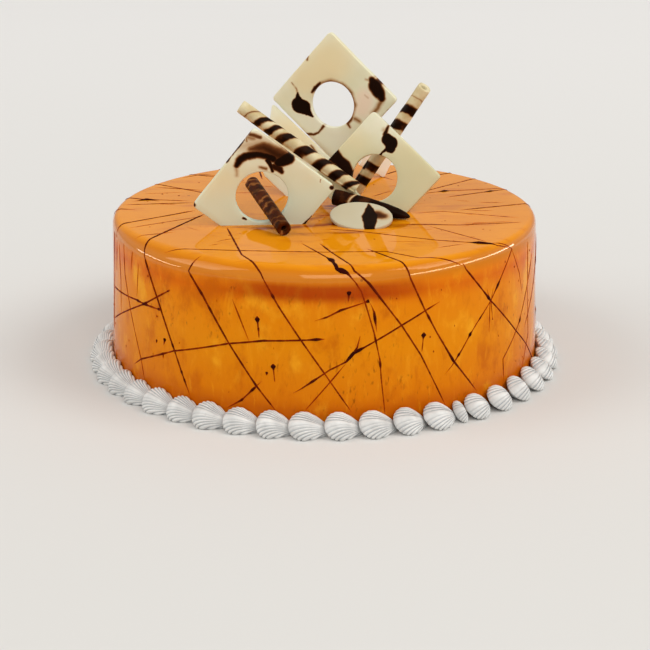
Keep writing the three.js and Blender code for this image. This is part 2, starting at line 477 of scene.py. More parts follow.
def makeGlaze():
    material, tree, shader = newMaterial("caramelGlaze")
    place = objectPlace(tree)
    parts = parted(tree, place)
    height = calculate(tree, "DIVIDE", parts[2], cakeTop * mm)
    drift = centred(tree, noiseOf(tree, place, 18.0, 3.0))
    wandering = calculate(tree, "MULTIPLY_ADD", drift, 0.05, height)
    onSide = rangeOf(tree, height, *glaze["sideEnds"])
    onTop = rangeOf(tree, height, *glaze["topBegins"])
    tone = ramp(tree, wandering, stopsOf(glaze, "byHeight"))
    tone = glazeSideTone(tree, place, onSide, tone)
    tone = glazeTopTone(tree, place, onTop, tone)
    tone = glazeRimShadeTone(tree, parts[1], wandering, tone)
    tone = glazeSpeckTone(tree, place, onSide, tone)
    tree.links.new(tone, shader.inputs["Base Color"])
    addRelief(tree, shader, noiseOf(tree, place, 30.0, 1.0), 0.06, 0.002)
    tree.links.new(glazeSheen(tree), shader.inputs["Specular IOR Level"])
    shader.inputs["Roughness"].default_value = glaze["roughness"]
    shader.inputs["Specular Tint"].default_value = glaze["tint"]
    return material


drizzle = {
    "faint": colour(198, 92, 6),
    "thin": colour(158, 50, 4),
    "dark": colour(104, 27, 5),
    "thick": colour(50, 11, 8),
    # share of the way from the thinnest to the thickest (metres), and the tone there
    "byThickness": [(0.0, "faint"), (0.12, "thin"), (0.36, "dark"), (0.75, "thick")],
    "thickness": (0.0001, 0.0011),
    "drift": 0.0003,
    "roughness": 0.45,
    "sheen": 0.01,
    "sides": 8,
    "spacing": 0.7,
    "fullness": 0.95,    # share of the listed radius that is laid
    "sunk": 0.5,         # share of its radius that a thread lies in the glaze
    "heap": 0.4,         # how much fuller a thread lies on the level top
    "unevenness": [(0.35, 0.3), (1.7, 0.22)],  # scale per mm, and share of the radius
    "ends": (0.22, 0.78),  # share of its radius at a thread's very end, and what its taper adds
    "taper": 6.0,
    "spatter": 84,
    "backThreads": 26,
    "backSpan": (84, 276),
    "crossThreads": 7,
    "hairs": 34,
    "topDots": 60,
    "seed": 7,
}


def makeDrizzleChocolate():
    material, tree, shader = newMaterial("drizzleChocolate")
    drift = centred(tree, noiseOf(tree, objectPlace(tree), 140.0))
    thick = addNode(tree, "ShaderNodeAttribute", attribute_name="thick").outputs["Fac"]
    uneven = calculate(tree, "MULTIPLY_ADD", drift, drizzle["drift"], thick)
    share = rangeOf(tree, uneven, *drizzle["thickness"], smooth=False)
    tree.links.new(ramp(tree, share, stopsOf(drizzle, "byThickness")), shader.inputs["Base Color"])
    shader.inputs["Roughness"].default_value = drizzle["roughness"]
    shader.inputs["Specular IOR Level"].default_value = drizzle["sheen"]
    shader.inputs["Specular Tint"].default_value = chocolate["tint"]
    return material


cream = {
    "lit": colour(227, 227, 225),
    "hollow": colour(206, 206, 204),
    # painted shade in the valleys between the ridges
    "valley": colour(140, 145, 150),
    "warm": colour(234, 204, 164),
    # metres from the middle between which painted light, the cake's orange glow reflected on the cream,
    # comes in, and how much
    "nearCake": (0.107, 0.1035, 0.0, 0.6),
    "valleyShade": (0.0, 0.85, 0.85, 0.0),
    "roughness": 0.5,
    "sheen": 0.3,
    "glow": 0.08,
    "glowRadius": (1.0, 0.9, 0.75),
    "glowScale": 0.001,
}


def makeCream():
    material, tree, shader = newMaterial("whippedCream")
    place = objectPlace(tree)
    grain = grainOf(tree, place, 160.0, 2400.0)
    tone = blend(tree, grain["Cloud"], cream["hollow"], cream["lit"])
    parts = parted(tree, place)
    # painted light: the cake's orange glow reflected on the cream nearest it
    squares = calculate(tree, "ADD", times(tree, parts[0], parts[0]), times(tree, parts[1], parts[1]))
    nearCake = rangeOf(tree, calculate(tree, "SQRT", squares), *cream["nearCake"])
    tone = blend(tree, nearCake, tone, cream["warm"])
    # painted shade: darker in the valleys between the ridges
    crest = parted(tree, ownMap(tree))[1]
    valleyShade = rangeOf(tree, crest, *cream["valleyShade"], smooth=False)
    tone = blend(tree, valleyShade, tone, cream["valley"])
    tree.links.new(tone, shader.inputs["Base Color"])
    addRelief(tree, shader, grain["Relief"], 0.2, 0.0004)
    shader.inputs["Roughness"].default_value = cream["roughness"]
    shader.inputs["Specular IOR Level"].default_value = cream["sheen"]
    shader.inputs["Subsurface Weight"].default_value = cream["glow"]
    shader.inputs["Subsurface Radius"].default_value = cream["glowRadius"]
    shader.inputs["Subsurface Scale"].default_value = cream["glowScale"]
    return material


chocolate = {
    "white": colour(218, 215, 182),
    "pale": colour(228, 226, 202),
    "butter": colour(226, 211, 168),
    "blush": colour(232, 210, 186),
    "biscuit": colour(196, 177, 130),
    "vanilla": colour(220, 209, 172),
    "milk": colour(176, 112, 54),
    "tan": colour(178, 134, 84),
    "brown": colour(98, 52, 20),
    "cocoa": colour(84, 35, 6),
    "bitter": colour(44, 15, 2),
    "dark": colour(40, 13, 2),
    "black": colour(20, 5, 1),
    # how dark a run is, and its tone there
    "byDarkness": [(0.0, "tan"), (0.26, "tan"), (0.55, "brown"), (0.8, "dark"), (1.0, "black")],
    "roughness": 0.42,
    "sheen": 0.22,
    "darkSheen": 0.06,
    "tint": (1.0, 0.86, 0.68, 1.0),
    "glow": 0.08,
    "glowRadius": (1.0, 0.8, 0.5),
    "glowScale": 0.0012,
    "spotStrength": 0.85,  # of butter, blush and foot tones
    "spotSoftness": 0.7,   # share of a spot's reach
    "footDepth": 20,       # mm in which the foot's tone comes in
}
stripes = {
    "drift": 3.4,       # mm that a band's edge wanders
    "inner": 0.9,       # mm from a band's edge where it is full
    "outer": 1.2,       # mm beyond it where it has faded
    "patches": (0.3, 0.6, 0.74, 1.0),
}
swirls = {
    "drift": 3.0,
    "width": 0.22,
    "uneven": (0.1, 0.8, 0.3, 1.0),
    "strength": 0.6,
    "roughness": 0.4,
    "sheen": 0.03,
}


def chocolateFinish(tree, shader, relief, strength=0.15):
    addRelief(tree, shader, relief, strength, 0.0005)
    shader.inputs["Roughness"].default_value = chocolate["roughness"]
    shader.inputs["Specular IOR Level"].default_value = chocolate["sheen"]
    shader.inputs["Specular Tint"].default_value = chocolate["tint"]


def darkened(tree, darkness, tone, shader):
    # Carries a tone through tan and brown to black as the darkness rises; the dark is less milky.
    sheen = rangeOf(tree, darkness, 0.3, 0.8, chocolate["sheen"], chocolate["darkSheen"])
    tree.links.new(sheen, shader.inputs["Specular IOR Level"])
    deep = ramp(tree, darkness, stopsOf(chocolate, "byDarkness"))
    return blend(tree, rangeOf(tree, darkness, 0.0, 0.4, smooth=False), tone, deep)


def makeMarbled(name, strokes, butter, blushes=(), foot=None, footTop=None):
    # White chocolate with dark runs, a few of them painted shade. A stroke's path lists across, up and
    # width; butter and blushes are round spots; foot is the tone that takes over below footTop,
    # painted shade on the right square and the oval and painted light on the offcut.
    material, tree, shader = newMaterial(name)
    own = ownPlace(tree)
    wobbled = ownPlace(tree, wobbled=True)
    grain = grainOf(tree, objectPlace(tree), 48.0, 1500.0)
    tone = blend(tree, grain["Cloud"], chocolate["white"], chocolate["pale"])
    strength = chocolate["spotStrength"]
    for tint, spots in (("butter", butter), ("blush", blushes)):
        for spot in spots:
            soft = spot[2] * chocolate["spotSoftness"]
            tone = blend(tree, strokeMask(tree, own, spot, spot, soft, strength), tone, chocolate[tint])
    if foot:
        up = parted(tree, own)[1]
        low = rangeOf(tree, up, footTop, footTop - chocolate["footDepth"], 0.0, strength)
        tone = blend(tree, low, tone, foot)
    darkness = None
    for stroke in strokes:
        path = stroke["path"]
        for start, end in zip(path, path[1:] or path):
            soft, strength = stroke.get("soft", 0.3), stroke.get("strength", 1.0)
            mask = strokeMask(tree, wobbled, start, end, soft, strength)
            if stroke.get("lift"):
                darkness = calculate(tree, "SUBTRACT", darkness, mask, clamp=True)
            else:
                darkness = joined(tree, darkness, mask)
    tree.links.new(darkened(tree, darkness, tone, shader), shader.inputs["Base Color"])
    chocolateFinish(tree, shader, grain["Relief"])
    shader.inputs["Subsurface Weight"].default_value = chocolate["glow"]
    shader.inputs["Subsurface Radius"].default_value = chocolate["glowRadius"]
    shader.inputs["Subsurface Scale"].default_value = chocolate["glowScale"]
    return material


def rolledPlaces(tree):
    # How far along a stick (mm) and how far round it (0 to 1) a point lies.
    parts = parted(tree, ownMap(tree))
    return times(tree, parts[0], mapSpan), parts[1]


def makeStriped(name, roll):
    # Bands list (mm along the stick, half their width); lead is how far a band climbs in one turn,
    # bulge how far it bows, and front the share of a turn that faces forward at the start.
    material, tree, shader = newMaterial(name)
    along, turned = rolledPlaces(tree)
    place = objectPlace(tree)
    grain = grainOf(tree, place, 150.0, 1800.0)
    wander = noiseOf(tree, place, 170.0)
    wobble = times(tree, centred(tree, wander), stripes["drift"])
    twisted = calculate(tree, "MULTIPLY_ADD", along, stick["twist"] / 360, turned)
    ahead = calculate(tree, "ADD", twisted, 1.5 - roll["front"])
    facing = centred(tree, calculate(tree, "FRACT", ahead))
    moved = calculate(tree, "ADD", along, wobble)
    climbed = calculate(tree, "MULTIPLY_ADD", facing, -roll["lead"], moved)
    bowed = calculate(tree, "COSINE", times(tree, facing, 2 * math.pi))
    climbed = calculate(tree, "MULTIPLY_ADD", bowed, -roll["bulge"], climbed)
    darkness = None
    for middle, half in roll["bands"]:
        away = calculate(tree, "ABSOLUTE", calculate(tree, "SUBTRACT", climbed, middle))
        band = rangeOf(tree, away, half - stripes["inner"], half + stripes["outer"], 1.0, 0.0)
        darkness = joined(tree, darkness, band)
    darkness = times(tree, darkness, rangeOf(tree, wander, *stripes["patches"]))
    tone = blend(tree, grain["Cloud"], chocolate["biscuit"], chocolate["vanilla"])
    tree.links.new(darkened(tree, darkness, tone, shader), shader.inputs["Base Color"])
    chocolateFinish(tree, shader, grain["Relief"], 0.25)
    return material


def makeSwirled(name, pitch, turns):
    # Dark chocolate with curling milky streaks, pitch mm apart along the stick.
    material, tree, shader = newMaterial(name)
    along, turned = rolledPlaces(tree)
    place = objectPlace(tree)
    grain = grainOf(tree, place, 150.0, 1800.0)
    drift = centred(tree, noiseOf(tree, place, 90.0, 3.0))
    phase = calculate(tree, "MULTIPLY_ADD", turned, turns, calculate(tree, "DIVIDE", along, pitch))
    cycle = calculate(tree, "FRACT", calculate(tree, "MULTIPLY_ADD", drift, swirls["drift"], phase))
    away = calculate(tree, "ABSOLUTE", centred(tree, cycle))
    streak = rangeOf(tree, away, 0.0, swirls["width"], 1.0, 0.0)
    uneven = rangeOf(tree, grain["Cloud"], *swirls["uneven"])
    milky = times(tree, times(tree, streak, uneven), swirls["strength"])
    tone = blend(tree, grain["Cloud"], chocolate["bitter"], chocolate["cocoa"])
    tree.links.new(blend(tree, milky, tone, chocolate["milk"]), shader.inputs["Base Color"])
    chocolateFinish(tree, shader, grain["Relief"], 0.25)
    shader.inputs["Roughness"].default_value = swirls["roughness"]
    shader.inputs["Specular IOR Level"].default_value = swirls["sheen"]
    return material


# the glazed cake

def rimAt(angle):
    # How far the upper edge is rounded, by degrees from the front: slumped where the glaze ran over it.
    swell = sum(
        more * math.exp(-((angle - middle) / width) ** 2) for middle, width, more in cake["rimSwell"]
    )
    return cake["rimRound"] + swell


def cakeProfile(rim):
    # Radius and height from the base's middle, up the side and over to the top's middle.
    top, base, height = cake["topRadius"], cake["baseRadius"], cake["height"]
    profile = [(0.0, 0.0), (base - 0.6, 0.0), (base - 0.1, 0.3)]
    for i in range(1, cake["sideRows"]):
        share = i / cake["sideRows"]
        profile.append((base + (top - base) * share, (height - rim) * share))
    for i in range(cake["rimRows"] + 1):
        angle = math.radians(90 * i / cake["rimRows"])
        profile.append((top - rim + rim * math.cos(angle), height - rim + rim * math.sin(angle)))
    for share in (0.93, 0.8, 0.6, 0.4, 0.2, 0.0):
        profile.append(((top - rim) * share, height))
    return profile


def makeCake():
    height, columns = cake["height"], cake["columns"]
    strips = []
    for j in range(columns):
        angle = 2 * math.pi * j / columns
        outward = Vector((math.cos(angle), math.sin(angle), 0))
        strip = []
        for radius, level in cakeProfile(rimAt(math.degrees(math.atan2(outward.x, -outward.y)))):
            onSide = 1.0 if 1 < level < height - 1 else 0.0
            near = outward * cake["waveScale"] + Vector((0, 0, level * cake["waveClimb"]))
            sway = cake["wave"] * noise.noise(near) * onSide
            strip.append(outward * (radius + sway) + Vector((0, 0, level)))
        strips.append(strip)
    rows = [list(row) for row in zip(*strips)]
    piece = gridPiece("glazedCake", rows, lambda i, j: (j / columns, i / len(rows)))
    return finish(piece, makeGlaze(), "caramel_glaze", "glazed_cake")


makeCake()
print("cake glazed")


# chocolate threads flung over the glaze

def glazeRadius(level):
    return cake["topRadius"] + (cake["baseRadius"] - cake["topRadius"]) * (1 - level / cakeTop)


def side(angle, level):
    # A point on the cake's side: degrees round from the front, height.
    turned = math.radians(angle)
    radius = glazeRadius(level)
    return Vector((radius * math.sin(turned), -radius * math.cos(turned), level))


def top(x, y):
    return Vector((x, y, cakeTop))


def unrolled(point):
    # Degrees round from the front, and the distance from the middle over the top and down the side.
    radius = math.hypot(point.x, point.y)
    angle = math.degrees(math.atan2(point.x, -point.y))
    rim = rimAt(angle)
    flat, shoulder = cake["topRadius"] - rim, cakeTop - rim
    if point.z > cakeTop - 0.01:
        return angle, radius
    if point.z > shoulder:
        return angle, flat + rim * math.acos((point.z - shoulder) / rim)
    return angle, flat + rim * math.pi / 2 + shoulder - point.z


def onGlaze(angle, reach):
    # The place on the glaze and the way it faces there.
    rim = rimAt(angle)
    flat, shoulder = cake["topRadius"] - rim, cakeTop - rim
    turned = math.radians(angle)
    outward = Vector((math.sin(turned), -math.cos(turned), 0))
    upward = Vector((0, 0, 1))
    if reach <= flat:
        return outward * reach + upward * cakeTop, upward
    bend = (reach - flat) / rim
    if bend < math.pi / 2:
        facing = outward * math.sin(bend) + upward * math.cos(bend)
        return outward * flat + upward * shoulder + facing * rim, facing
    level = shoulder - (reach - flat - rim * math.pi / 2)
    return outward * glazeRadius(level) + upward * level, outward


def spread(angle, reach):
    turned = math.radians(angle)
    return Vector((reach * math.sin(turned), -reach * math.cos(turned)))


def leg(start, end):
    # A straight run on the unrolled glaze: its length, and the place a share of the way along it.
    if min(start[1], end[1]) > cake["topRadius"] - 1:
        turn = (end[0] - start[0] + 180) % 360 - 180
        reach = math.hypot(math.radians(turn) * cake["topRadius"], end[1] - start[1])
        return reach, lambda share: (start[0] + turn * share, start[1] + (end[1] - start[1]) * share)
    first, last = spread(*start), spread(*end)

    def placeAt(share):
        here = first.lerp(last, share)
        return math.degrees(math.atan2(here.x, -here.y)), here.length

    return (last - first).length, placeAt


# Each thread: the places it passes, its radius, and blots as (share of the way, extra radius, length).
threads = [
    {"through": [top(-57, -11), side(-52.5, 67.6), side(-46.2, 48.4), side(-40.3, 28.3),
                 side(-37.8, 18.9), side(-34.9, 8.3)],
     "thick": 0.46, "blots": [(0.5, 0.12, 6), (0.8, 0.4, 2.4), (0.9, 0.3, 2), (0.93, 0.25, 2)]},
    {"through": [side(-33.8, 73.2), side(-35.7, 67), side(-31.2, 57.1), side(-23.7, 37.2),
                 side(-16.6, 19.6), side(-11.1, 7.7)],
     "thick": 0.46, "blots": [(0.24, 0.3, 5), (0.34, 0.2, 4), (0.8, 0.2, 4)]},
    {"through": [side(-22.9, 57.9), side(-19.4, 43.5), side(-18.5, 39.7)], "thick": 0.28},
    {"through": [top(-45, -35), top(-36, -80), side(-15.6, 70.3), side(-11.1, 56.6), side(-5.9, 42.6),
                 side(0.1, 26.9), side(7, 8)],
     "thick": 0.4, "blots": [(0.55, 0.35, 2.6)]},
    {"through": [top(-71, -70), top(-37, -73.7), top(0.4, -76.2), top(27, -75), top(41, -85),
                 side(36.3, 69.2)],
     "thick": 0.3},
    {"through": [side(-77.1, 42.1), side(-56.8, 45.4), side(-52.7, 45.3), side(-45.6, 45.6)], "thick": 0.42,
     "blots": [(0.68, 0.4, 3), (0.8, 0.3, 4), (0.98, 0.6, 2.4)]},
    {"through": [side(-75.9, 26.3), side(-52.7, 45.3), side(-42, 56.2)], "thick": 0.42,
     "blots": [(0.68, 0.35, 5), (0.98, 0.3, 2)]},
    {"through": [side(-64.9, 68.5), side(-63.9, 54.2), side(-59.9, 37.9), side(-54.3, 18.2),
                 side(-52.2, 6.5)],
     "thick": 0.27},
    {"through": [side(-75.3, 70), side(-75.3, 48.5), side(-77.7, 20)], "thick": 0.22},
    {"through": [side(-69, 66), side(-67.4, 50), side(-67.2, 34.1)], "thick": 0.24},
    {"through": [side(-58.6, 70.1), side(-59.7, 58)], "thick": 0.2},
    {"through": [side(-55.5, 63), side(-56.4, 47)], "thick": 0.2},
    {"through": [side(-71.6, 67), side(-72, 52)], "thick": 0.2},
    {"through": [side(-58.3, 13.5), side(-54.3, 18.2), side(-40.8, 28.4), side(-24.1, 37.4),
                 side(-14.9, 40.6), side(0.1, 42.5)],
     "thick": 0.42, "blots": [(0.25, 0.25, 3), (0.75, 0.2, 5), (0.97, 0.55, 5)]},
    {"through": [side(-25, 7), side(-20.5, 12.3), side(-16.6, 19.6), side(-15.3, 22.2)], "thick": 0.38,
     "blots": [(0.42, 0.35, 2.4), (0.75, 0.4, 4)]},
    {"through": [side(-7.5, 17.6), side(-5.6, 19.7), side(1.4, 28.6), side(5.3, 32.1), side(7.1, 35.9),
                 side(19.1, 46.8), side(25.8, 52.3), side(29.5, 55)],
     "thick": 0.42, "blots": [(0.13, 0.3, 5), (0.4, 0.55, 7), (0.46, 0.5, 5)]},
    {"through": [side(6.9, 35), side(8, 38.5), side(8.7, 43.5)], "thick": 0.5, "blots": [(0.2, 0.4, 4)]},
    {"through": [side(-5.2, 8.6), side(1.4, 22.9), side(5.3, 31.5)], "thick": 0.36},
    {"through": [side(-2.3, 50.6), side(0.7, 52.3), side(4, 55.3), side(10.8, 58.9)], "thick": 0.34,
     "blots": [(0.2, 0.2, 3), (0.5, 0.3, 5), (1.0, 0.9, 3)]},
    {"through": [top(-10, -62), top(3, -88), side(3.2, 72.7), side(5.6, 71.3), side(7.6, 67.3),
                 side(9, 63.3), side(10.6, 54.1), side(12.1, 44.7), side(13.6, 31.9), side(13.9, 23.8),
                 side(15, 5)],
     "thick": 0.34,
     "blots": [(0.26, 0.95, 7), (0.32, 0.5, 8), (0.37, 0.85, 7), (0.68, 0.3, 4), (0.78, 0.35, 4)]},
    {"through": [side(11.2, 57.9), side(12.1, 53.9), side(12.8, 45)], "thick": 0.5,
     "blots": [(0.55, 0.25, 6)]},
    {"through": [top(-2, -62), top(3, -76), side(7.4, 71.9), side(11, 66.4), side(19.1, 46.8),
                 side(24.2, 32.3), side(31.4, 6.2)],
     "thick": 0.4, "blots": [(0.42, 0.25, 16)]},
    {"through": [top(19, -71), side(21.4, 67.4), side(25.4, 52.1), side(28.7, 41.2), side(33.6, 26.7),
                 side(42, 8.1)],
     "thick": 0.42, "blots": [(0.52, 0.3, 3), (0.76, 0.3, 14)]},
    {"through": [side(36.6, 70.5), side(37.7, 67.1), side(46.6, 49.6), side(59.2, 29.1), side(66.8, 18.4),
                 side(76, 3)],
     "thick": 0.44, "blots": [(0.26, 0.5, 4)]},
    {"through": [top(74, -62), side(56.4, 69.4), side(46.6, 49.3), side(41.3, 40.9), side(39, 36.6),
                 side(36.4, 30.8), side(33.1, 24.2), side(30.9, 20.8)],
     "thick": 0.34,
     "blots": [(0.4, 0.45, 5), (0.62, 0.25, 2.4), (0.73, 0.75, 2.4), (0.86, 0.5, 2.4)]},
    {"through": [side(45.2, 55.5), side(46.4, 49.3), side(46.1, 35)], "thick": 0.28},
    {"through": [side(47.6, 55), side(46.8, 49), side(47.5, 40.3)], "thick": 0.28,
     "blots": [(1.0, 0.4, 2)]},
    {"through": [side(72, 60), side(61.1, 32.7), side(57.1, 26.3), side(52.2, 19.3), side(52.6, 8)],
     "thick": 0.34, "blots": [(0.5, 0.5, 3)]},
    {"through": [side(67.6, 68), side(67.2, 45.5), side(68.2, 23.4), side(62.3, 7)], "thick": 0.26},
    {"through": [side(56.4, 69.4), side(60.9, 56.4), side(63, 45)], "thick": 0.24},
    {"through": [top(0.4, -38), top(14, -41), top(31.7, -48.9), top(50.8, -56.9), top(73, -62.5),
                 side(50.9, 72.9), side(56, 69.5)],
     "thick": 0.3, "blots": [(0.8, 0.9, 7), (0.84, 0.5, 6)]},
    {"through": [top(48, -70), top(64, -62)], "thick": 0.2},
    {"through": [top(48, -32), top(73, -59.5)], "thick": 0.26},
    {"through": [top(34.7, -29.5), top(62.9, -30.9), top(92, -26)], "thick": 0.3},
    {"through": [top(43, -9), top(57, -6), top(92, -18)], "thick": 0.2},
    {"through": [top(64, -34), top(70, -28), top(88, -24)], "thick": 0.16},
    {"through": [top(-64, -34), top(-57, -41)], "thick": 0.2},
    {"through": [top(-49, -60), top(-44, -55.6), top(-38, -54)], "thick": 0.22},
    {"through": [top(-69, -8), top(-63, -5)], "thick": 0.2},
    {"through": [top(-74, 62), top(-64, 70), top(-54, 66)], "thick": 0.24},
    {"through": [top(23, 22), top(35, 36)], "thick": 0.24},
    {"through": [top(28, 67), top(36, 57)], "thick": 0.24},
    {"through": [top(-86.6, -50), top(-78, -47), top(-68, -43)], "thick": 0.24},
    {"through": [side(-71.8, 68), top(-62, -4.6)], "thick": 0.38},
    {"through": [top(-98, 6.3), top(-64, 10.7)], "thick": 0.3},
    {"through": [top(-94, 13), top(-88, 16.4), top(-80, 16), top(-66, 14)], "thick": 0.26,
     "blots": [(0.26, 0.75, 9)]},
    {"through": [top(-86, 42), top(-60, 35)], "thick": 0.26},
    {"through": [top(-90, -36), top(-56, -14)], "thick": 0.22},
    {"through": [top(40, 25), top(61, 34), top(92, 40)], "thick": 0.24, "blots": [(0.4, 0.8, 5)]},
]

# Single drops: where the head is, where the tail ends, and the head's size.
drops = [
    (side(-16.4, 50.6), side(-15.9, 41.5), 1.15),
    (side(-12.4, 29.7), side(-12, 22.1), 1.25),
    (side(25, 41.5), side(24.5, 33.6), 1.35),
    (side(6, 62.9), side(5.8, 58.7), 0.95),
    (side(-44, 32.2), side(-44.4, 29.6), 0.85),
    (side(-14, 25.8), side(-14.1, 25), 0.55),
    (side(-47.2, 30.1), side(-47.3, 29.4), 0.4),
    (side(-44.6, 24.6), side(-44.6, 23), 0.25),
    (side(-16.1, 45.6), side(-16, 43.6), 0.35),
    (side(150, 44), side(150.4, 37), 1.1),
    (side(-128, 52), side(-128.3, 46), 1.0),
    (side(172, 30), side(172, 24), 1.2),
]


def threadPoints(through, thick, blots, taper):
    # Points along a thread, each with its radius.
    thick *= drizzle["fullness"]
    stops = [unrolled(point) for point in through]
    legs = [leg(start, end) for start, end in zip(stops, stops[1:])]
    reach = sum(length for length, _ in legs)
    found = []
    travelled = 0.0
    for number, (length, placeAt) in enumerate(legs):
        steps = max(2, int(length / drizzle["spacing"]))
        for k in range(steps + (number == len(legs) - 1)):
            place, facing = onGlaze(*placeAt(k / steps))
            passed = travelled + length * k / steps
            rough = sum(noise.noise(place * scale) * size for scale, size in drizzle["unevenness"])
            radius = thick * (1 + rough)
            fromEnd = min(passed, reach - passed)
            least, more = drizzle["ends"]
            radius *= least + more * min(1.0, fromEnd / taper)
            for share, extra, span in blots:
                away = (passed - share * reach) / span * 2
                radius += extra * math.exp(-away * away * 1.6)
            radius *= 1 + drizzle["heap"] * max(0.0, facing.z)
            found.append((place - facing * radius * drizzle["sunk"], radius))
        travelled += length
    return found


def namedValue(tree, name):
    found = addNode(tree, "GeometryNodeInputNamedAttribute", {"Name": name}, data_type="FLOAT")
    return found.outputs["Attribute"]


def handOver(tree, geometry, material, result):
    # Ends a tree: its geometry made real, in its material.
    real = addNode(tree, "GeometryNodeRealizeInstances", {"Geometry": geometry})
    painted = addNode(tree, "GeometryNodeSetMaterial", {"Geometry": real.outputs[0], "Material": material})
    tree.links.new(painted.outputs[0], result.inputs[0])
    return tree


def threadNodes(material):
    # Geometry nodes that give every strand its round body.
    tree, given, result = newGroup(
        "chocolateThreads",
        {
            "Geometry": ("NodeSocketGeometry", None),
            "Sides": ("NodeSocketInt", None),
            "Fullness": ("NodeSocketFloat", None),
        },
        {"Geometry": "NodeSocketGeometry"},
        "GeometryNodeTree",
    )
    strand = addNode(tree, "GeometryNodeMeshToCurve", {"Mesh": given["Geometry"]}).outputs[0]
    swollen = times(tree, namedValue(tree, "thick"), given["Fullness"])
    circle = {"Resolution": given["Sides"], "Radius": 1.0}
    section = addNode(tree, "GeometryNodeCurvePrimitiveCircle", circle).outputs[0]
    inputs = {"Curve": strand, "Profile Curve": section, "Scale": swollen, "Fill Caps": True}
    return handOver(tree, addNode(tree, "GeometryNodeCurveToMesh", inputs).outputs[0], material, result)


def newSource(name, points, edges, values):
    # Points and edges, with named values on the points, for a node tree to build on.
    mesh = bpy.data.meshes.new(name)
    mesh.from_pydata(points, edges, [])
    for attribute, given in values.items():
        mesh.attributes.new(attribute, "FLOAT", "POINT").data.foreach_set("value", given)
    return addObject(name, mesh)


def applyNodes(name, source, tree, settings):
    # Runs a node tree on an object and keeps the result as a plain smooth mesh.
    modifier = source.modifiers.new("build", "NODES")
    modifier.node_group = tree
    for item in tree.interface.items_tree:
        if item.in_out == "INPUT" and item.name in settings:
            modifier[item.identifier] = settings[item.name]
    bpy.context.view_layer.update()
    view = bpy.context.evaluated_depsgraph_get()
    mesh = bpy.data.meshes.new_from_object(source.evaluated_get(view), depsgraph=view)
    mesh.name = name
    for face in mesh.polygons:
        face.use_smooth = True
    bpy.data.objects.remove(source)
    return addObject(name, mesh)


def makeThreads():
    points, edges, radii = [], [], []

    def lay(through, size, blots=(), taper=drizzle["taper"]):
        first = len(points)
        for point, radius in threadPoints(through, size, blots, taper):
            points.append(point * mm)
            radii.append(radius * mm)
        edges.extend((k, k + 1) for k in range(first, len(points) - 1))

    for thread in threads:
        lay(thread["through"], thread["thick"], thread.get("blots", ()))
    lift = Vector((0, 0, 0.8))
    for head, tail, size in drops:
        lay([head + lift, head, tail], 0.3, [(0.14, size, 2.6)], 1.0)
    luck = Random(drizzle["seed"])
    for _ in range(drizzle["spatter"]):
        angle = luck.uniform(-180, 180)
        level = luck.uniform(12, 66)
        size = luck.uniform(0.14, 0.42)
        lay([side(angle, level), side(angle, level - 1.2)], size, (), 0.6)
    first, last = drizzle["backSpan"]
    for number in range(drizzle["backThreads"]):  # down the back, like those in front
        angle = first + (last - first) * (number + luck.uniform(0.1, 0.9)) / drizzle["backThreads"]
        lean = luck.choice((-1, 1)) * luck.uniform(4, 26)
        low = luck.uniform(6, 34)
        size = luck.uniform(0.24, 0.42)
        through = [side(angle + lean * 0.1, luck.uniform(56, 66)), side(angle + lean, low)]
        if number % 2:
            inner = luck.uniform(55, 92)
            turned = math.radians(angle - lean * 0.4)
            through.insert(0, top(inner * math.sin(turned), -inner * math.cos(turned)))
        blots = [(luck.uniform(0.2, 0.9), luck.uniform(0.1, 0.6), luck.uniform(2.4, 6)) for _ in range(2)]
        lay(through, size, blots)
    for _ in range(drizzle["crossThreads"]):  # across the back
        angle = luck.uniform(95, 250)
        level = luck.uniform(22, 54)
        through = [side(angle, level), side(angle + luck.uniform(14, 30), level + luck.uniform(-12, 12))]
        lay(through, 0.38, [(luck.uniform(0.1, 0.9), luck.uniform(0.3, 0.7), 4)])
    for _ in range(drizzle["hairs"]):  # fine as hair, on the top
        middle = Vector((luck.uniform(-88, 88), luck.uniform(-88, 70), cakeTop))
        slope = luck.uniform(-0.5, 0.5)
        half = Vector((math.cos(slope), math.sin(slope), 0)) * luck.uniform(2, 11)
        size = luck.uniform(0.1, 0.2)
        if middle.xy.length < 86:
            lay([middle - half, middle + half], size, (), 3.0)
    for _ in range(drizzle["topDots"]):
        middle = Vector((luck.uniform(-88, 88), luck.uniform(-88, 70), cakeTop))
        size = luck.uniform(0.2, 0.46)
        if middle.xy.length < 90:
            lay([middle, middle + Vector((luck.uniform(0.5, 1.4), 0, 0))], size, (), 0.6)
    source = newSource("threadPaths", points, edges, {"thick": radii})
    material = makeDrizzleChocolate()
    settings = {"Sides": drizzle["sides"], "Fullness": 1.0}
    piece = applyNodes("chocolateThreads", source, threadNodes(material), settings)
    return finish(piece, material, "dark_chocolate")


makeThreads()
print("threads laid")


# the piped border

border = {
    "shells": 46,
    "firstAngle": 0.97,
    "narrowShell": 4,
    "narrowWidth": 0.45,
    "widthSwing": 0.04,
    "swingStep": 2.4,
    "narrowing": 0.25,   # how much of its width's change a shell shows in its thickness
    "unevenness": 0.05,
    "middleRadius": 109,
    "gap": 0.05,
    "reach": 10.7,       # mm from the cake to a shell's outer foot
    "height": 9.4,
    "bulge": 4.3,        # mm that a shell swells between them
    "peak": 0.3,         # where it is fullest, as a share of its length
    "ridges": 13,
    "fan": 122,          # degrees that the ridges spread to either side of the head
    "perRidge": 6,
    "tailColumns": 12,
    "ridgeDepth": 0.2,
    "teeth": 0.085,      # how far the ridges stand out at the head
    "stations": 18,
    "seed": 3,
}

# A shell's fullness along its length: a blunt head, a full body and a drawn-out tail.
shellFullness = [
    (-0.12, 0.0), (-0.115, 0.15), (-0.1, 0.3), (-0.075, 0.45), (-0.04, 0.59), (0.0, 0.7), (0.05, 0.8),
    (0.12, 0.9), (0.2, 0.97), (0.3, 1.0), (0.44, 0.96), (0.58, 0.85), (0.72, 0.7), (0.86, 0.53),
    (0.98, 0.38), (1.08, 0.24), (1.12, 0.0),
]


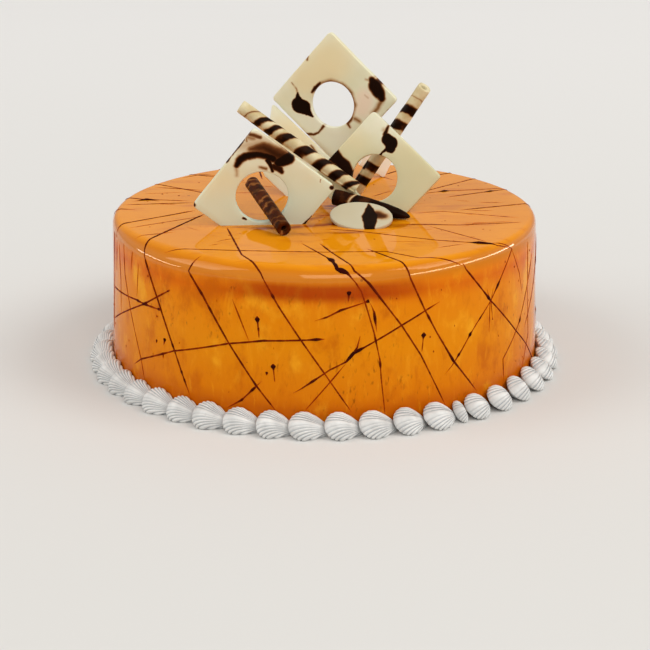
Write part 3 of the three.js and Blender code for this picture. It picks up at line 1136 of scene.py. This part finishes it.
def between(table, at):
    for (a, low), (b, high) in zip(table, table[1:]):
        if at <= b:
            share = (at - a) / (b - a)
            return low + (high - low) * share
    return table[-1][1]


def shellColumns():
    # Angles round a shell's outline from its head, and how much of a crest (1) or valley (0) each one is.
    fan, count = border["fan"], border["ridges"] * border["perRidge"]
    found = []
    for j in range(count + 1):
        phase = j / border["perRidge"]
        found.append((fan * (2 * j / count - 1), abs(math.sin(math.pi * phase)) ** 0.8))
    tail = border["tailColumns"]
    found += [(fan + (360 - 2 * fan) * j / tail, 0.6) for j in range(1, tail)]
    return found


def shellPlace(along, across, crest, reach):
    # A place on a shell from its share of the length, and from its outer foot (-1) to the cake (1).
    full = between(shellFullness, along)
    hold = 1.0 if along < border["peak"] else full
    valley = 1 - crest
    swell = border["bulge"] * math.sqrt(max(0.0, full * full - across * across))
    swell *= 1 - border["ridgeDepth"] * valley * min(1.0, 1.8 * reach)
    chord = math.hypot(border["reach"], border["height"])
    narrowed = across * (1 - border["teeth"] * valley * reach)
    out = border["reach"] / 2 * (hold - narrowed) + border["height"] / chord * swell
    up = border["height"] / 2 * (hold + narrowed) + border["reach"] / chord * swell
    return out, up


def makeShellTemplate(pitch):
    # One shell along +X, standing on z = 0 with the cake behind it at y = 0. Its ridges fan from its tail.
    length = pitch * math.pi / 180 * border["middleRadius"]
    stations, peak = border["stations"], border["peak"]
    head, tail = shellFullness[0][0], shellFullness[-1][0]
    columns = shellColumns()
    rows = []
    for i in range(stations + 2):
        reach = min(1.0, math.sin(math.pi / 2 * i / (stations - 1))) if i < stations else 1.0
        row = []
        for degrees, crest in columns:
            turn = math.radians(degrees)
            ahead = math.cos(turn)
            edge = peak - (peak - head) * ahead if ahead > 0 else peak - (tail - 0.01 - peak) * ahead
            edge += border["teeth"] * (1 - crest) * max(0.0, ahead) * (peak - head)
            wide = math.copysign(between(shellFullness, edge), math.sin(turn))
            along = tail - 0.02 + (edge - tail + 0.02) * reach
            out, up = shellPlace(along, wide * reach * 0.999, crest, reach)
            if i >= stations:
                sunk = (0.1, 1.0)[i - stations]
                along += (peak - along) * sunk
                out += (0.2 - out) * sunk
                up += (0.2 - up) * sunk
            bow = (1 - math.cos(math.radians((along - 0.5) * pitch))) * cake["baseRadius"]
            row.append(Vector((along * length, bow - max(out, 0.0), max(up, 0.0))))
        rows.append(row)
    return gridPiece("shellTemplate", rows, lambda i, j: (i / stations, columns[j % len(columns)][1]))


def shellNodes(template, material):
    # Geometry nodes that pipe a shell on every point.
    tree, given, result = newGroup(
        "pipedShells",
        {
            "Geometry": ("NodeSocketGeometry", None),
            "Size": ("NodeSocketFloat", None),
            "Unevenness": ("NodeSocketFloat", None),
            "Seed": ("NodeSocketInt", None),
        },
        {"Geometry": "NodeSocketGeometry"},
        "GeometryNodeTree",
    )
    shell = addNode(tree, "GeometryNodeObjectInfo", {"Object": template}).outputs["Geometry"]
    width = namedValue(tree, "width")
    low = calculate(tree, "SUBTRACT", given["Size"], given["Unevenness"])
    limits = {2: low, 3: given["Size"], "Seed": given["Seed"]}
    plump = addNode(tree, "FunctionNodeRandomValue", limits, data_type="FLOAT").outputs[1]
    across = times(tree, plump, calculate(tree, "POWER", width, border["narrowing"]))
    scale = addNode(tree, "ShaderNodeCombineXYZ", {0: width, 1: across, 2: across}).outputs[0]
    rotation = addNode(tree, "ShaderNodeCombineXYZ", {2: namedValue(tree, "heading")}).outputs[0]
    inputs = {"Points": given["Geometry"], "Instance": shell, "Rotation": rotation, "Scale": scale}
    placed = addNode(tree, "GeometryNodeInstanceOnPoints", inputs).outputs[0]
    return handOver(tree, placed, material, result)


def makeBorder():
    widths = []
    for i in range(border["shells"]):
        swing = 1 + border["widthSwing"] * math.sin(i * border["swingStep"])
        widths.append(border["narrowWidth"] if i == border["narrowShell"] else swing)
    pitch = 360 / sum(widths)
    angle = border["firstAngle"]
    points, headings = [], []
    for width in widths:
        heading = math.radians(angle + width * pitch / 2)
        # the template's middle touches the cake, so step back half a shell along its heading
        centre = Vector((math.sin(heading), -math.cos(heading), 0)) * (cake["baseRadius"] + border["gap"])
        along = Vector((math.cos(heading), math.sin(heading), 0))
        half = width * pitch / 2 * math.pi / 180 * border["middleRadius"]
        points.append((centre - along * half) * mm)
        headings.append(heading)
        angle += width * pitch
    source = newSource("shellPlaces", points, [], {"heading": headings, "width": widths})
    template = makeShellTemplate(pitch)
    material = makeCream()
    settings = {"Size": 1.0, "Unevenness": border["unevenness"], "Seed": border["seed"]}
    piece = applyNodes("creamBorder", source, shellNodes(template, material), settings)
    bpy.data.objects.remove(template)
    return finish(piece, material, "cream", "cream_border")


makeBorder()
print("border piped")


# chocolate plates

plate = {
    "thickness": 3.0,
    "edge": 0.55,
    "corner": 2.2,
    "sunk": 0.3,
    "wave": 0.12,        # mm that a face is uneven
    "waveScale": 0.09,
    "ragged": 0.16,      # mm that an edge is uneven
    "raggedScale": 0.4,
    "sharpAngle": 40,
}
glazeHold = (cakeTop - plate["sunk"]) * mm  # what lies lower is cut off


def placing(given):
    # From a plate's own face (x across, z up) to where it stands on the cake.
    at = given["at"]
    spot = Vector((at[0], at[1], at[2] + cakeTop))
    turned = Matrix.Rotation(math.radians(given["turn"]), 4, "Z")
    leaned = Matrix.Rotation(math.radians(-given["lean"]), 4, "X")
    rolled = Matrix.Rotation(math.radians(given["roll"]), 4, "Y")
    return Matrix.Translation(spot) @ turned @ leaned @ rolled


def roundedOutline(corners, radius, perSide=14, perCorner=6):
    # Points round a polygon whose corners are rounded off.
    found = []
    count = len(corners)
    for k, corner in enumerate(corners):
        here = Vector(corner)
        before = Vector(corners[k - 1])
        after = Vector(corners[(k + 1) % count])
        start = here + (before - here).normalized() * radius
        end = here + (after - here).normalized() * radius
        for i in range(perCorner + 1):
            t = i / perCorner
            found.append(start * (1 - t) ** 2 + here * (2 * t * (1 - t)) + end * t * t)
        leave = after + (here - after).normalized() * radius
        for i in range(1, perSide):
            found.append(end.lerp(leave, i / perSide))
    return found


def slabPiece(name, outline, placed, hole=None, thick=plate["thickness"]):
    # A plate of chocolate with softened edges, cut off where it stands in the glaze.
    edge = plate["edge"]
    if hole:
        centre = Vector(hole["at"])
        inner = [centre + (point - centre).normalized() * (hole["size"] / 2) for point in outline]
    else:
        centre = sum(outline, Vector((0, 0))) / len(outline)
        inner = [centre.copy() for _ in outline]
    bends = [math.radians(a) for a in (0, 30, 60, 90)]
    section = []  # (share of the way out, extra mm, depth)
    if hole:
        section += [(0, edge - edge * math.sin(a), edge - edge * math.cos(a)) for a in reversed(bends)]
    else:
        section.append((0, 0, 0))
    section += [(share, 0, 0) for share in (0.25, 0.5, 0.75)]
    section += [(1, edge * math.sin(a) - edge, edge - edge * math.cos(a)) for a in bends]
    section.append((1, 0, thick / 2))
    section += [(1, edge * math.sin(a) - edge, thick - edge + edge * math.cos(a)) for a in reversed(bends)]
    section += [(share, 0, thick) for share in (0.75, 0.5, 0.25)]
    if hole:
        section += [(0, edge - edge * math.sin(a), thick - edge + edge * math.cos(a)) for a in bends]
        section.append((0, 0, thick / 2))
    else:
        section.append((0, 0, thick))
    rows, flats = [], []
    shift = sum(map(ord, name))
    for share, extra, depth in section:
        row, flat = [], []
        for a, b in zip(inner, outline):
            way = b - a
            point = a + way * share + way.normalized() * extra
            near = Vector((point.x * plate["waveScale"], point.y * plate["waveScale"], shift))
            wave = plate["wave"] * noise.noise(near)
            if share == 1:
                near = Vector((point.x * plate["raggedScale"], point.y * plate["raggedScale"], shift + 3))
                point = point + way.normalized() * (plate["ragged"] * noise.noise(near))
            row.append(placed @ Vector((point.x, depth + wave, point.y)))
            flat.append(ownMark(point.x, point.y))
        rows.append(row)
        flats.append(flat)

    def mark(i, j):
        return flats[i % len(rows)][j % len(outline)]

    piece = gridPiece(name, rows, mark, ringRows=bool(hole))
    tidyMesh(piece, glazeHold)
    softenEdges(piece, plate["sharpAngle"])
    return piece


def diamond(sideLength):
    half = sideLength / math.sqrt(2)
    return [(0, half), (half, 0), (0, -half), (-half, 0)]


leftSquare = {
    "side": 47.2, "hole": {"at": (-0.9, 0), "size": 24.4},
    "at": (-27.8, -31.9, 13.7), "turn": 3.9, "lean": -5.6, "roll": -6.9,
    "butter": [(-20, 2, 12), (22, -4, 10)], "foot": colour(212, 226, 204), "footTop": 15,
    "strokes": [
        {"path": [(-7, 26, 1.4), (2, 25.4, 3), (10, 20, 3)], "soft": 5.0, "strength": 0.36},
        {"path": [(-3, 23.6, 1.2), (3, 23.4, 2.8), (7.5, 20.5, 3.4), (11, 18.2, 3.2)], "soft": 3.2,
         "strength": 0.76},
        {"path": [(-6.4, 30.4, 1.4), (-1, 28.4, 1.6)], "soft": 1.8, "strength": 0.4},
        {"path": [(-10.4, 16.8, 1.2), (-8.6, 19.2, 1.7), (-5.6, 20.9, 1.7), (-0.7, 21, 1.4),
                  (3.3, 19.6, 1.4), (6.6, 17.9, 1.9)], "soft": 1.2},
        {"path": [(-8, 20.5, 1.2), (-2, 22, 1.4), (4, 21, 1.8)], "soft": 1.6, "strength": 0.6},
        {"path": [(9.2, 15.8, 2.4), (13.4, 17, 2.8)], "soft": 1.0},
        {"path": [(4, 17.4, 1.1), (5, 14.6, 0.9), (5.5, 11.9, 0.7)], "soft": 0.5, "strength": 0.96},
        {"path": [(6.5, 14, 1.5), (8.8, 12.4, 1.7), (9.6, 11, 1.1)], "soft": 0.8, "strength": 0.8},
        {"path": [(-0.1, 14.4, 0.6), (2.6, 13.6, 0.9)], "soft": 0.8, "strength": 0.5},
        {"path": [(-10.8, 16, 0.8), (-11, 12, 0.5)], "soft": 1.3, "strength": 0.42},
        {"path": [(-3.4, 31, 0.9), (1.8, 28.8, 1.1)], "soft": 1.1, "strength": 0.62},
        {"path": [(-4.6, 29.6, 0.7), (-4.4, 27.6, 0.6)], "soft": 0.9, "strength": 0.46},
        {"path": [(-5.8, 28.4, 0.5), (-10, 24.1, 0.6), (-15, 19, 0.4)], "soft": 0.35, "strength": 0.95},
        {"path": [(-32.8, 0.4, 1.1)], "soft": 0.6, "strength": 0.85},
        {"path": [(31.6, 0.2, 1.0)], "soft": 0.5, "strength": 0.85},
        {"path": [(27, 4.5, 0.3), (26.6, 3.4, 0.2)], "soft": 0.3, "strength": 0.45},
        {"path": [(-10.9, -9.2, 0.6), (-9.6, -10, 0.4)], "soft": 0.4, "strength": 0.85},
        {"path": [(11, -19.8, 0.6), (14.6, -18.6, 0.9), (18, -15.2, 0.8), (20.8, -12.4, 0.4)], "soft": 0.4},
        {"path": [(-6, -20.6, 0.4), (0, -20.8, 0.6), (7, -20.4, 0.5)], "soft": 0.5, "strength": 0.9},
    ],
}
rightSquare = {
    "side": 45.4, "hole": {"at": (-0.3, 0), "size": 22.4},
    "at": (24.3, -0.6, 15.1), "turn": -15, "lean": 12.2, "roll": -4.7,
    # its foot tone darkens and greys most of the square: painted shade from the top square above it
    "butter": [(-12, 14, 9), (14, 0, 13), (20, 8, 8)], "foot": colour(203, 199, 160), "footTop": 26,
    "strokes": [
        {"path": [(6.6, 18.2, 2.9), (8.2, 16.6, 3.2), (7.9, 14.2, 2.5)], "soft": 0.5},
        {"path": [(5.4, 20.4, 1.2), (6.2, 23, 0.8), (7.2, 24.6, 0.4)], "soft": 0.7, "strength": 0.85},
        {"path": [(4.8, 22.6, 0.8)], "soft": 1.2, "strength": 0.34},
        {"path": [(5.4, 13.2, 0.7), (3.6, 12, 0.45), (2.6, 10.8, 0.6)], "soft": 0.3, "strength": 0.95},
        {"path": [(-23.4, 12, 2.8), (-20.6, 12, 3.5), (-17.4, 8.8, 2.7), (-14.8, 5.8, 3.1),
                  (-12, 2.2, 2.0)], "soft": 1.0, "strength": 0.95},
        {"path": [(-24.5, 8, 2.4), (-18.5, 3.6, 2.8)], "soft": 1.2, "strength": 0.93},
        {"path": [(-21.9, 7.5, 0.5), (-20.6, 6.6, 0.5)], "soft": 0.5, "strength": 0.7, "lift": True},
        {"path": [(-13.4, -1, 1), (-12.6, -3.5, 0.6)], "soft": 0.8, "strength": 0.4},
    ],
}
topSquare = {
    "side": 46.8, "hole": {"at": (-0.7, -2.8), "size": 22.6},
    "at": (4.4, 30.8, 47.2), "turn": -21.9, "lean": -0.7, "roll": -3.3,
    "butter": [(1, 20, 10), (-14, 10, 8), (-4, 15, 8)],
    "blushes": [(15, -4, 5), (17, 1, 4)],
    "strokes": [
        {"path": [(-18.9, 3.2, 0.4), (-18.6, -0.4, 1.9), (-18.3, -3.2, 3.5)], "soft": 0.5},
        {"path": [(-18.6, -3.2, 3.8), (-15.8, -4.2, 3.5), (-14.4, -6.2, 2.2), (-11.6, -8.8, 0.5)],
         "soft": 0.5},
        {"path": [(-18.9, 2.6, 0.4), (-19.4, 5.2, 0.3), (-21.5, 8, 0.3)], "soft": 0.6, "strength": 0.5},
        {"path": [(-15.5, -17.8, 0.5), (-11.8, -18, 0.6), (-8.9, -17, 0.5), (-7.1, -15.3, 0.5),
                  (-6, -13.7, 0.7)], "soft": 0.6, "strength": 0.68},
        # the next four runs hug the hole's rim from its upper left over the top to its lower right: painted
        # shade on the hole's inner edge
        {"path": [(-11, 3.2, 0.6), (-9.2, 5.6, 0.9), (-6.7, 7.6, 0.6)], "soft": 0.6, "strength": 0.8},
        {"path": [(-6.7, 7.6, 0.6), (-0.7, 9.2, 0.9), (5.3, 7.6, 0.6)], "soft": 1.1, "strength": 0.46},
        {"path": [(5.3, 7.6, 0.6), (9.7, 3.2, 0.9), (11.3, -2.8, 0.9), (9.7, -8.8, 0.6)], "soft": 1.0,
         "strength": 0.46},
        {"path": [(9.7, -8.8, 0.6), (7, -12, 0.8), (8.2, -13.8, 0.5)], "soft": 0.8, "strength": 0.6},
        {"path": [(20.8, 9.4, 1.6), (22.3, 6.6, 3.3), (24.2, 3.4, 2.9), (25.5, 0.4, 1.6)], "soft": 1.1,
         "strength": 0.97},
        {"path": [(25.2, -0.8, 1.3), (23.2, -3.8, 1.1), (20.2, -6.8, 0.9)], "soft": 1.4, "strength": 0.48},
        {"path": [(17.4, 9.8, 0.4), (20.4, 9.2, 0.7)], "soft": 0.8, "strength": 0.36},
        {"path": [(28.4, -5.4, 0.5), (25.1, -9, 0.5)], "soft": 0.4, "strength": 0.85},
        {"path": [(-12.6, 19.6, 0.5), (-11.8, 21, 0.4)], "soft": 0.6, "strength": 0.6},
        {"path": [(10.8, -9.4, 0.9), (13.4, -10.8, 0.8)], "soft": 1.2, "strength": 0.46},
        {"path": [(16.8, 2.4, 0.3), (18.4, 0.8, 0.3)], "soft": 0.5, "strength": 0.24},
    ],
}
cutSquare = {
    "side": 47, "width": 29, "edgeSlope": 38.4, "cutSlope": 87,
    "at": (-26, 41, 43.3), "turn": -15, "lean": 19, "roll": 0,
    "butter": [(12, -16, 12)],
    "strokes": [
        {"path": [(22, -20, 0.5), (25, -23, 0.6)], "soft": 0.6, "strength": 0.5},
        {"path": [(16, -32, 1.2), (20, -36, 0.8)], "soft": 0.8, "strength": 0.8},
    ],
}
offcut = {
    "width": 15, "height": 23, "corner": 1.0,
    "at": (31, 63, -0.2), "turn": 10, "lean": 4, "roll": 28,
    # its foot tone whitens the whole offcut: painted light on its upturned face
    "butter": [(-4, 6, 6)], "foot": colour(255, 252, 240), "footTop": 60,
    "strokes": [{"path": [(-12, 20, 0.4), (-10, 19, 0.3)], "soft": 0.5, "strength": 0.35}],
}
oval = {
    "width": 29.7, "depth": 21.6, "thickness": 2.0, "points": 72,
    "at": (17.2, -28.3, 4.1), "turn": -8, "lean": 70, "roll": 8,
    # its foot tone darkens the whole oval: painted shade
    "butter": [(-9, 2, 7), (10, 0, 5)], "foot": colour(187, 176, 149), "footTop": 30,
    "strokes": [
        {"path": [(1.3, 9.4, 0.3), (2.6, 5.4, 1.9), (4.2, 0.4, 3.7), (5.4, -4, 3.3), (6.2, -8.6, 2.6)],
         "soft": 0.6},
        {"path": [(7, 1.6, 3.2), (10.2, 1, 2.2)], "soft": 2.2, "strength": 0.74},
    ],
}


def marble(piece, node, name, given):
    tones = given["butter"], given.get("blushes", ()), given.get("foot"), given.get("footTop")
    material = makeMarbled(name, given["strokes"], *tones)
    return finish(piece, material, "marbled_chocolate", node)


def makeSquare(name, node, square):
    outline = roundedOutline(diamond(square["side"]), plate["corner"])
    piece = slabPiece(name, outline, placing(square), hole=square["hole"])
    return marble(piece, node, name + "Marbling", square)


def makeCutSquare():
    edge = math.radians(cutSquare["edgeSlope"])
    cut = math.radians(cutSquare["cutSlope"])
    along = Vector((math.cos(edge), -math.sin(edge)))
    down = Vector((-math.sin(edge), -math.cos(edge)))
    cutLine = Vector((-math.cos(cut), -math.sin(cut)))
    right = along * cutSquare["side"]
    left = cutLine * (cutSquare["width"] / cutLine.dot(down))
    corners = [Vector((0, 0)), right, right + down * cutSquare["width"], left]
    piece = slabPiece("cutSquare", roundedOutline(corners, plate["corner"]), placing(cutSquare))
    return marble(piece, "cut_square", "cutSquareMarbling", cutSquare)


def makeOffcut():
    wide, high = offcut["width"], offcut["height"]
    outline = roundedOutline([(0, 0), (-wide, 0), (-wide, high), (0, high)], offcut["corner"])
    piece = slabPiece("backOffcut", outline, placing(offcut))
    return marble(piece, "back_offcut", "backOffcutMarbling", offcut)


def makeOval():
    outline = []
    for i in range(oval["points"]):
        angle = 2 * math.pi * i / oval["points"]
        outline.append(Vector((oval["width"] / 2 * math.cos(angle), oval["depth"] / 2 * math.sin(angle))))
    piece = slabPiece("chocolateOval", outline, placing(oval), thick=oval["thickness"])
    return marble(piece, "chocolate_oval", "ovalMarbling", oval)


makeSquare("leftSquare", "left_square", leftSquare)
makeSquare("rightSquare", "right_square", rightSquare)
makeSquare("topSquare", "top_square", topSquare)
makeCutSquare()
makeOffcut()
makeOval()
print("plates set")


# rolled sticks

stick = {
    "bore": 1.5,
    "boreDepth": 5.0,
    "mouth": 0.4,        # how far the bore is bevelled at its mouth
    "lap": 0.5,
    "twist": 1.2,        # degrees per mm
    "edge": 0.35,
    "edgeBend": 0.3,     # share of the edge that its middle row is set in
    "rough": 0.1,
    "roughScale": 0.25,
    "clear": 0.05,
    "columns": 48,
    "spacing": 1.0,
    "sharpAngle": 50,
}

# How a tapered stick swells from its tip: share of its length, share of its radius.
taperProfile = [(0, 0), (0.02, 0.2), (0.06, 0.4), (0.14, 0.58), (0.3, 0.76), (0.6, 0.92), (1, 1)]

rolls = [
    {"name": "stripedRollLong", "node": "striped_roll_long", "slot": "striped_chocolate", "radius": 3.6,
     "from": (15.5, -3.4, 10.6), "to": (-39.9, 6, 48.5), "seam": 200, "front": 0.886,
     "lead": 11.0, "bulge": 1.6,
     "bands": [(60.6, 0.0), (54.2, 1.7), (47.5, 1.7), (40.3, 1.9), (29.3, 2.6), (19.2, 1.9), (10.2, 2.1),
               (2.2, 1.2)]},
    {"name": "stripedRollBack", "node": "striped_roll_back", "slot": "striped_chocolate", "radius": 3.6,
     "from": (15.6, 22, 3.2), "to": (47.2, 0.5, 58.7), "seam": 30, "front": 0.867,
     "lead": -2.6, "bulge": 1.8,
     "bands": [(60.2, -0.2), (53, 2.3), (43.2, 2.4), (35.6, 0.8), (27, 2), (15.6, 2.3), (7.3, 2.2)]},
    {"name": "darkRollFront", "node": "dark_roll_front", "slot": "dark_chocolate", "radius": 3.6,
     "from": (-18, -50.4, 3.5), "to": (-34.6, -1.2, 12.9), "seam": 120, "swirl": (7.0, -1)},
    {"name": "darkRollLying", "node": "dark_roll_lying", "slot": "dark_chocolate", "radius": 4.3,
     "from": (40.5, -21.9, 1.4), "to": (5.1, -6.2, 7.3), "seam": 60, "tapered": True, "front": 0.3,
     "lead": 4.0, "bulge": 1.2,
     "bands": [(12, 16.6), (34.4, 4.4)]},
]


def stickStations(roll, length):
    # The stick's profile from one end's middle to the other's: how far along, how far out, outside or not.
    edge, radius, bore, depth = stick["edge"], roll["radius"], stick["bore"], stick["boreDepth"]
    mouth, bend = stick["mouth"], edge * stick["edgeBend"]
    count = int(length / stick["spacing"])
    if roll.get("tapered"):
        shares = [0, 0.004, 0.01, 0.02, 0.035] + [k / count for k in range(2, count)]
        found = [(length * share, radius * between(taperProfile, share), True) for share in shares]
        found.append((length - edge, radius, True))
    else:
        found = [(depth, 0, False), (depth, bore, False), (depth / 2, bore, False), (mouth, bore, False)]
        found += [(0, bore + mouth, False), (0, radius - edge, True), (bend, radius - bend, True)]
        found += [(edge + (length - 2 * edge) * k / count, radius, True) for k in range(count + 1)]
    found += [(length - bend, radius - bend, True), (length, radius - edge, True)]
    found += [(length, bore + mouth, False), (length - mouth, bore, False)]
    found += [(length - depth / 2, bore, False), (length - depth, bore, False)]
    return found + [(length - depth, 0, False)]


def makeRoll(roll):
    # A stick rolled from a thin sheet: a lap runs along it and its ends are open.
    start = Vector(roll["from"]) + Vector((0, 0, cakeTop))
    end = Vector(roll["to"]) + Vector((0, 0, cakeTop))
    length = (end - start).length
    axis = (end - start) / length
    across = axis.cross(Vector((0, 0, 1))).normalized()
    lift = across.cross(axis)
    stations = stickStations(roll, length)
    columns = stick["columns"]
    rows = []
    for along, size, outside in stations:
        row = []
        for j in range(columns):
            turn = j / columns
            angle = math.radians(roll["seam"] + along * stick["twist"]) + 2 * math.pi * turn
            lap = stick["lap"] * turn * min(1, size / 2) if outside else 0
            way = across * math.cos(angle) + lift * math.sin(angle)
            near = Vector((along * stick["roughScale"], math.cos(angle), math.sin(angle)))
            rough = stick["rough"] * noise.noise(near) * min(1, size / 2) if outside else 0
            row.append(start + axis * along + way * max(0, size - lap - stick["clear"] + rough))
        rows.append(row)
    marks = [along / mapSpan for along, _, _ in stations]
    piece = gridPiece(roll["name"], rows, lambda i, j: (marks[i], j / columns))
    tidyMesh(piece, glazeHold)
    softenEdges(piece, stick["sharpAngle"])
    name = roll["name"] + "Chocolate"
    if "swirl" in roll:
        material = makeSwirled(name, *roll["swirl"])
    else:
        material = makeStriped(name, roll)
    return finish(piece, material, roll["slot"], roll["node"])


for roll in rolls:
    makeRoll(roll)
print("sticks rolled")


# floor, light and camera

studio = {
    "floor": colour(210, 209, 206),
    "farFloor": colour(246, 245, 244),
    "floorCloud": colour(228, 225, 221),
    "floorSize": 12.0,
    "floorFades": (-0.5, 1.8),  # metres back, from the near tone to the far one
    "camera": (0.37, -766.2, 273.7),
    "lookingDown": 18.71,
    "lens": 90.66,
    "sensor": 36,
    "nearest": 0.05,
    "lampsAimAt": (0, 0, 0.05),
    "sky": 0.62,
    "skyTones": [
        (0.0, (0.7, 0.69, 0.67, 1)), (0.14, (0.95, 0.92, 0.86, 1)), (0.3, (1.15, 1.12, 1.04, 1)),
        (0.5, (1.05, 1.04, 1.02, 1)), (1.0, (0.85, 0.84, 0.83, 1)),
    ],
    "lights": [
        # name, place in metres, width and height, watts, colour, whether it also lights surfaces
        ("rightStrip", (1.97, -0.35, 0.28), (3.0, 0.27), 33, (1.0, 0.95, 0.88), False),
        ("leftStrip", (-1.98, 0.17, 0.28), (1.15, 0.11), 3.6, (1.0, 0.95, 0.9), False),
        ("rightKey", (2.0, -0.6, 2.3), (1.6, 1.6), 36, (1.0, 0.98, 0.95), True),
        ("leftKey", (-2.2, -0.4, 2.0), (1.6, 1.6), 22, (1.0, 0.98, 0.96), True),
        ("frontFill", (0.3, -2.6, 1.9), (1.8, 1.4), 24, (1.0, 0.99, 0.97), True),
    ],
}


def makeFloor():
    size = studio["floorSize"]
    mesh = bpy.data.meshes.new("floor")
    corners = [(-size, -size, 0), (size, -size, 0), (size, size, 0), (-size, size, 0)]
    mesh.from_pydata(corners, [], [(0, 1, 2, 3)])
    floor = addObject("floor", mesh)
    material, tree, shader = newMaterial("paleFloor")
    place = objectPlace(tree)
    back = rangeOf(tree, parted(tree, place)[1], *studio["floorFades"])
    tone = blend(tree, back, studio["floor"], studio["farFloor"])
    tone = blend(tree, times(tree, noiseOf(tree, place, 2.0), 0.2), tone, studio["floorCloud"])
    tree.links.new(tone, shader.inputs["Base Color"])
    shader.inputs["Roughness"].default_value = 0.9
    shader.inputs["Specular IOR Level"].default_value = 0.1
    mesh.materials.append(material)


def makeLights():
    for name, place, size, watts, tint, everywhere in studio["lights"]:
        lamp = bpy.data.lights.new(name, "AREA")
        lamp.shape = "RECTANGLE"
        lamp.size, lamp.size_y = size
        lamp.energy = watts
        lamp.color = tint
        light = addObject(name, lamp)
        light.location = place
        light.visible_diffuse = everywhere
        aim = Vector(studio["lampsAimAt"]) - Vector(place)
        light.rotation_euler = aim.to_track_quat("-Z", "Y").to_euler()
    world = bpy.data.worlds.new("studio")
    scene.world = world
    world.use_nodes = True
    tree = world.node_tree
    facing = addNode(tree, "ShaderNodeTexCoord").outputs["Generated"]
    sky = ramp(tree, parted(tree, facing)[2], studio["skyTones"])
    tree.links.new(sky, tree.nodes["Background"].inputs["Color"])
    tree.nodes["Background"].inputs["Strength"].default_value = studio["sky"]


def makeCamera():
    lens = bpy.data.cameras.new("camera")
    lens.lens = studio["lens"]
    lens.sensor_width = studio["sensor"]
    lens.clip_start = studio["nearest"]
    camera = addObject("camera", lens)
    camera.location = Vector(studio["camera"]) * mm
    camera.rotation_euler = (math.radians(90 - studio["lookingDown"]), 0, 0)
    scene.camera = camera


makeFloor()
makeLights()
makeCamera()
print("studio ready")
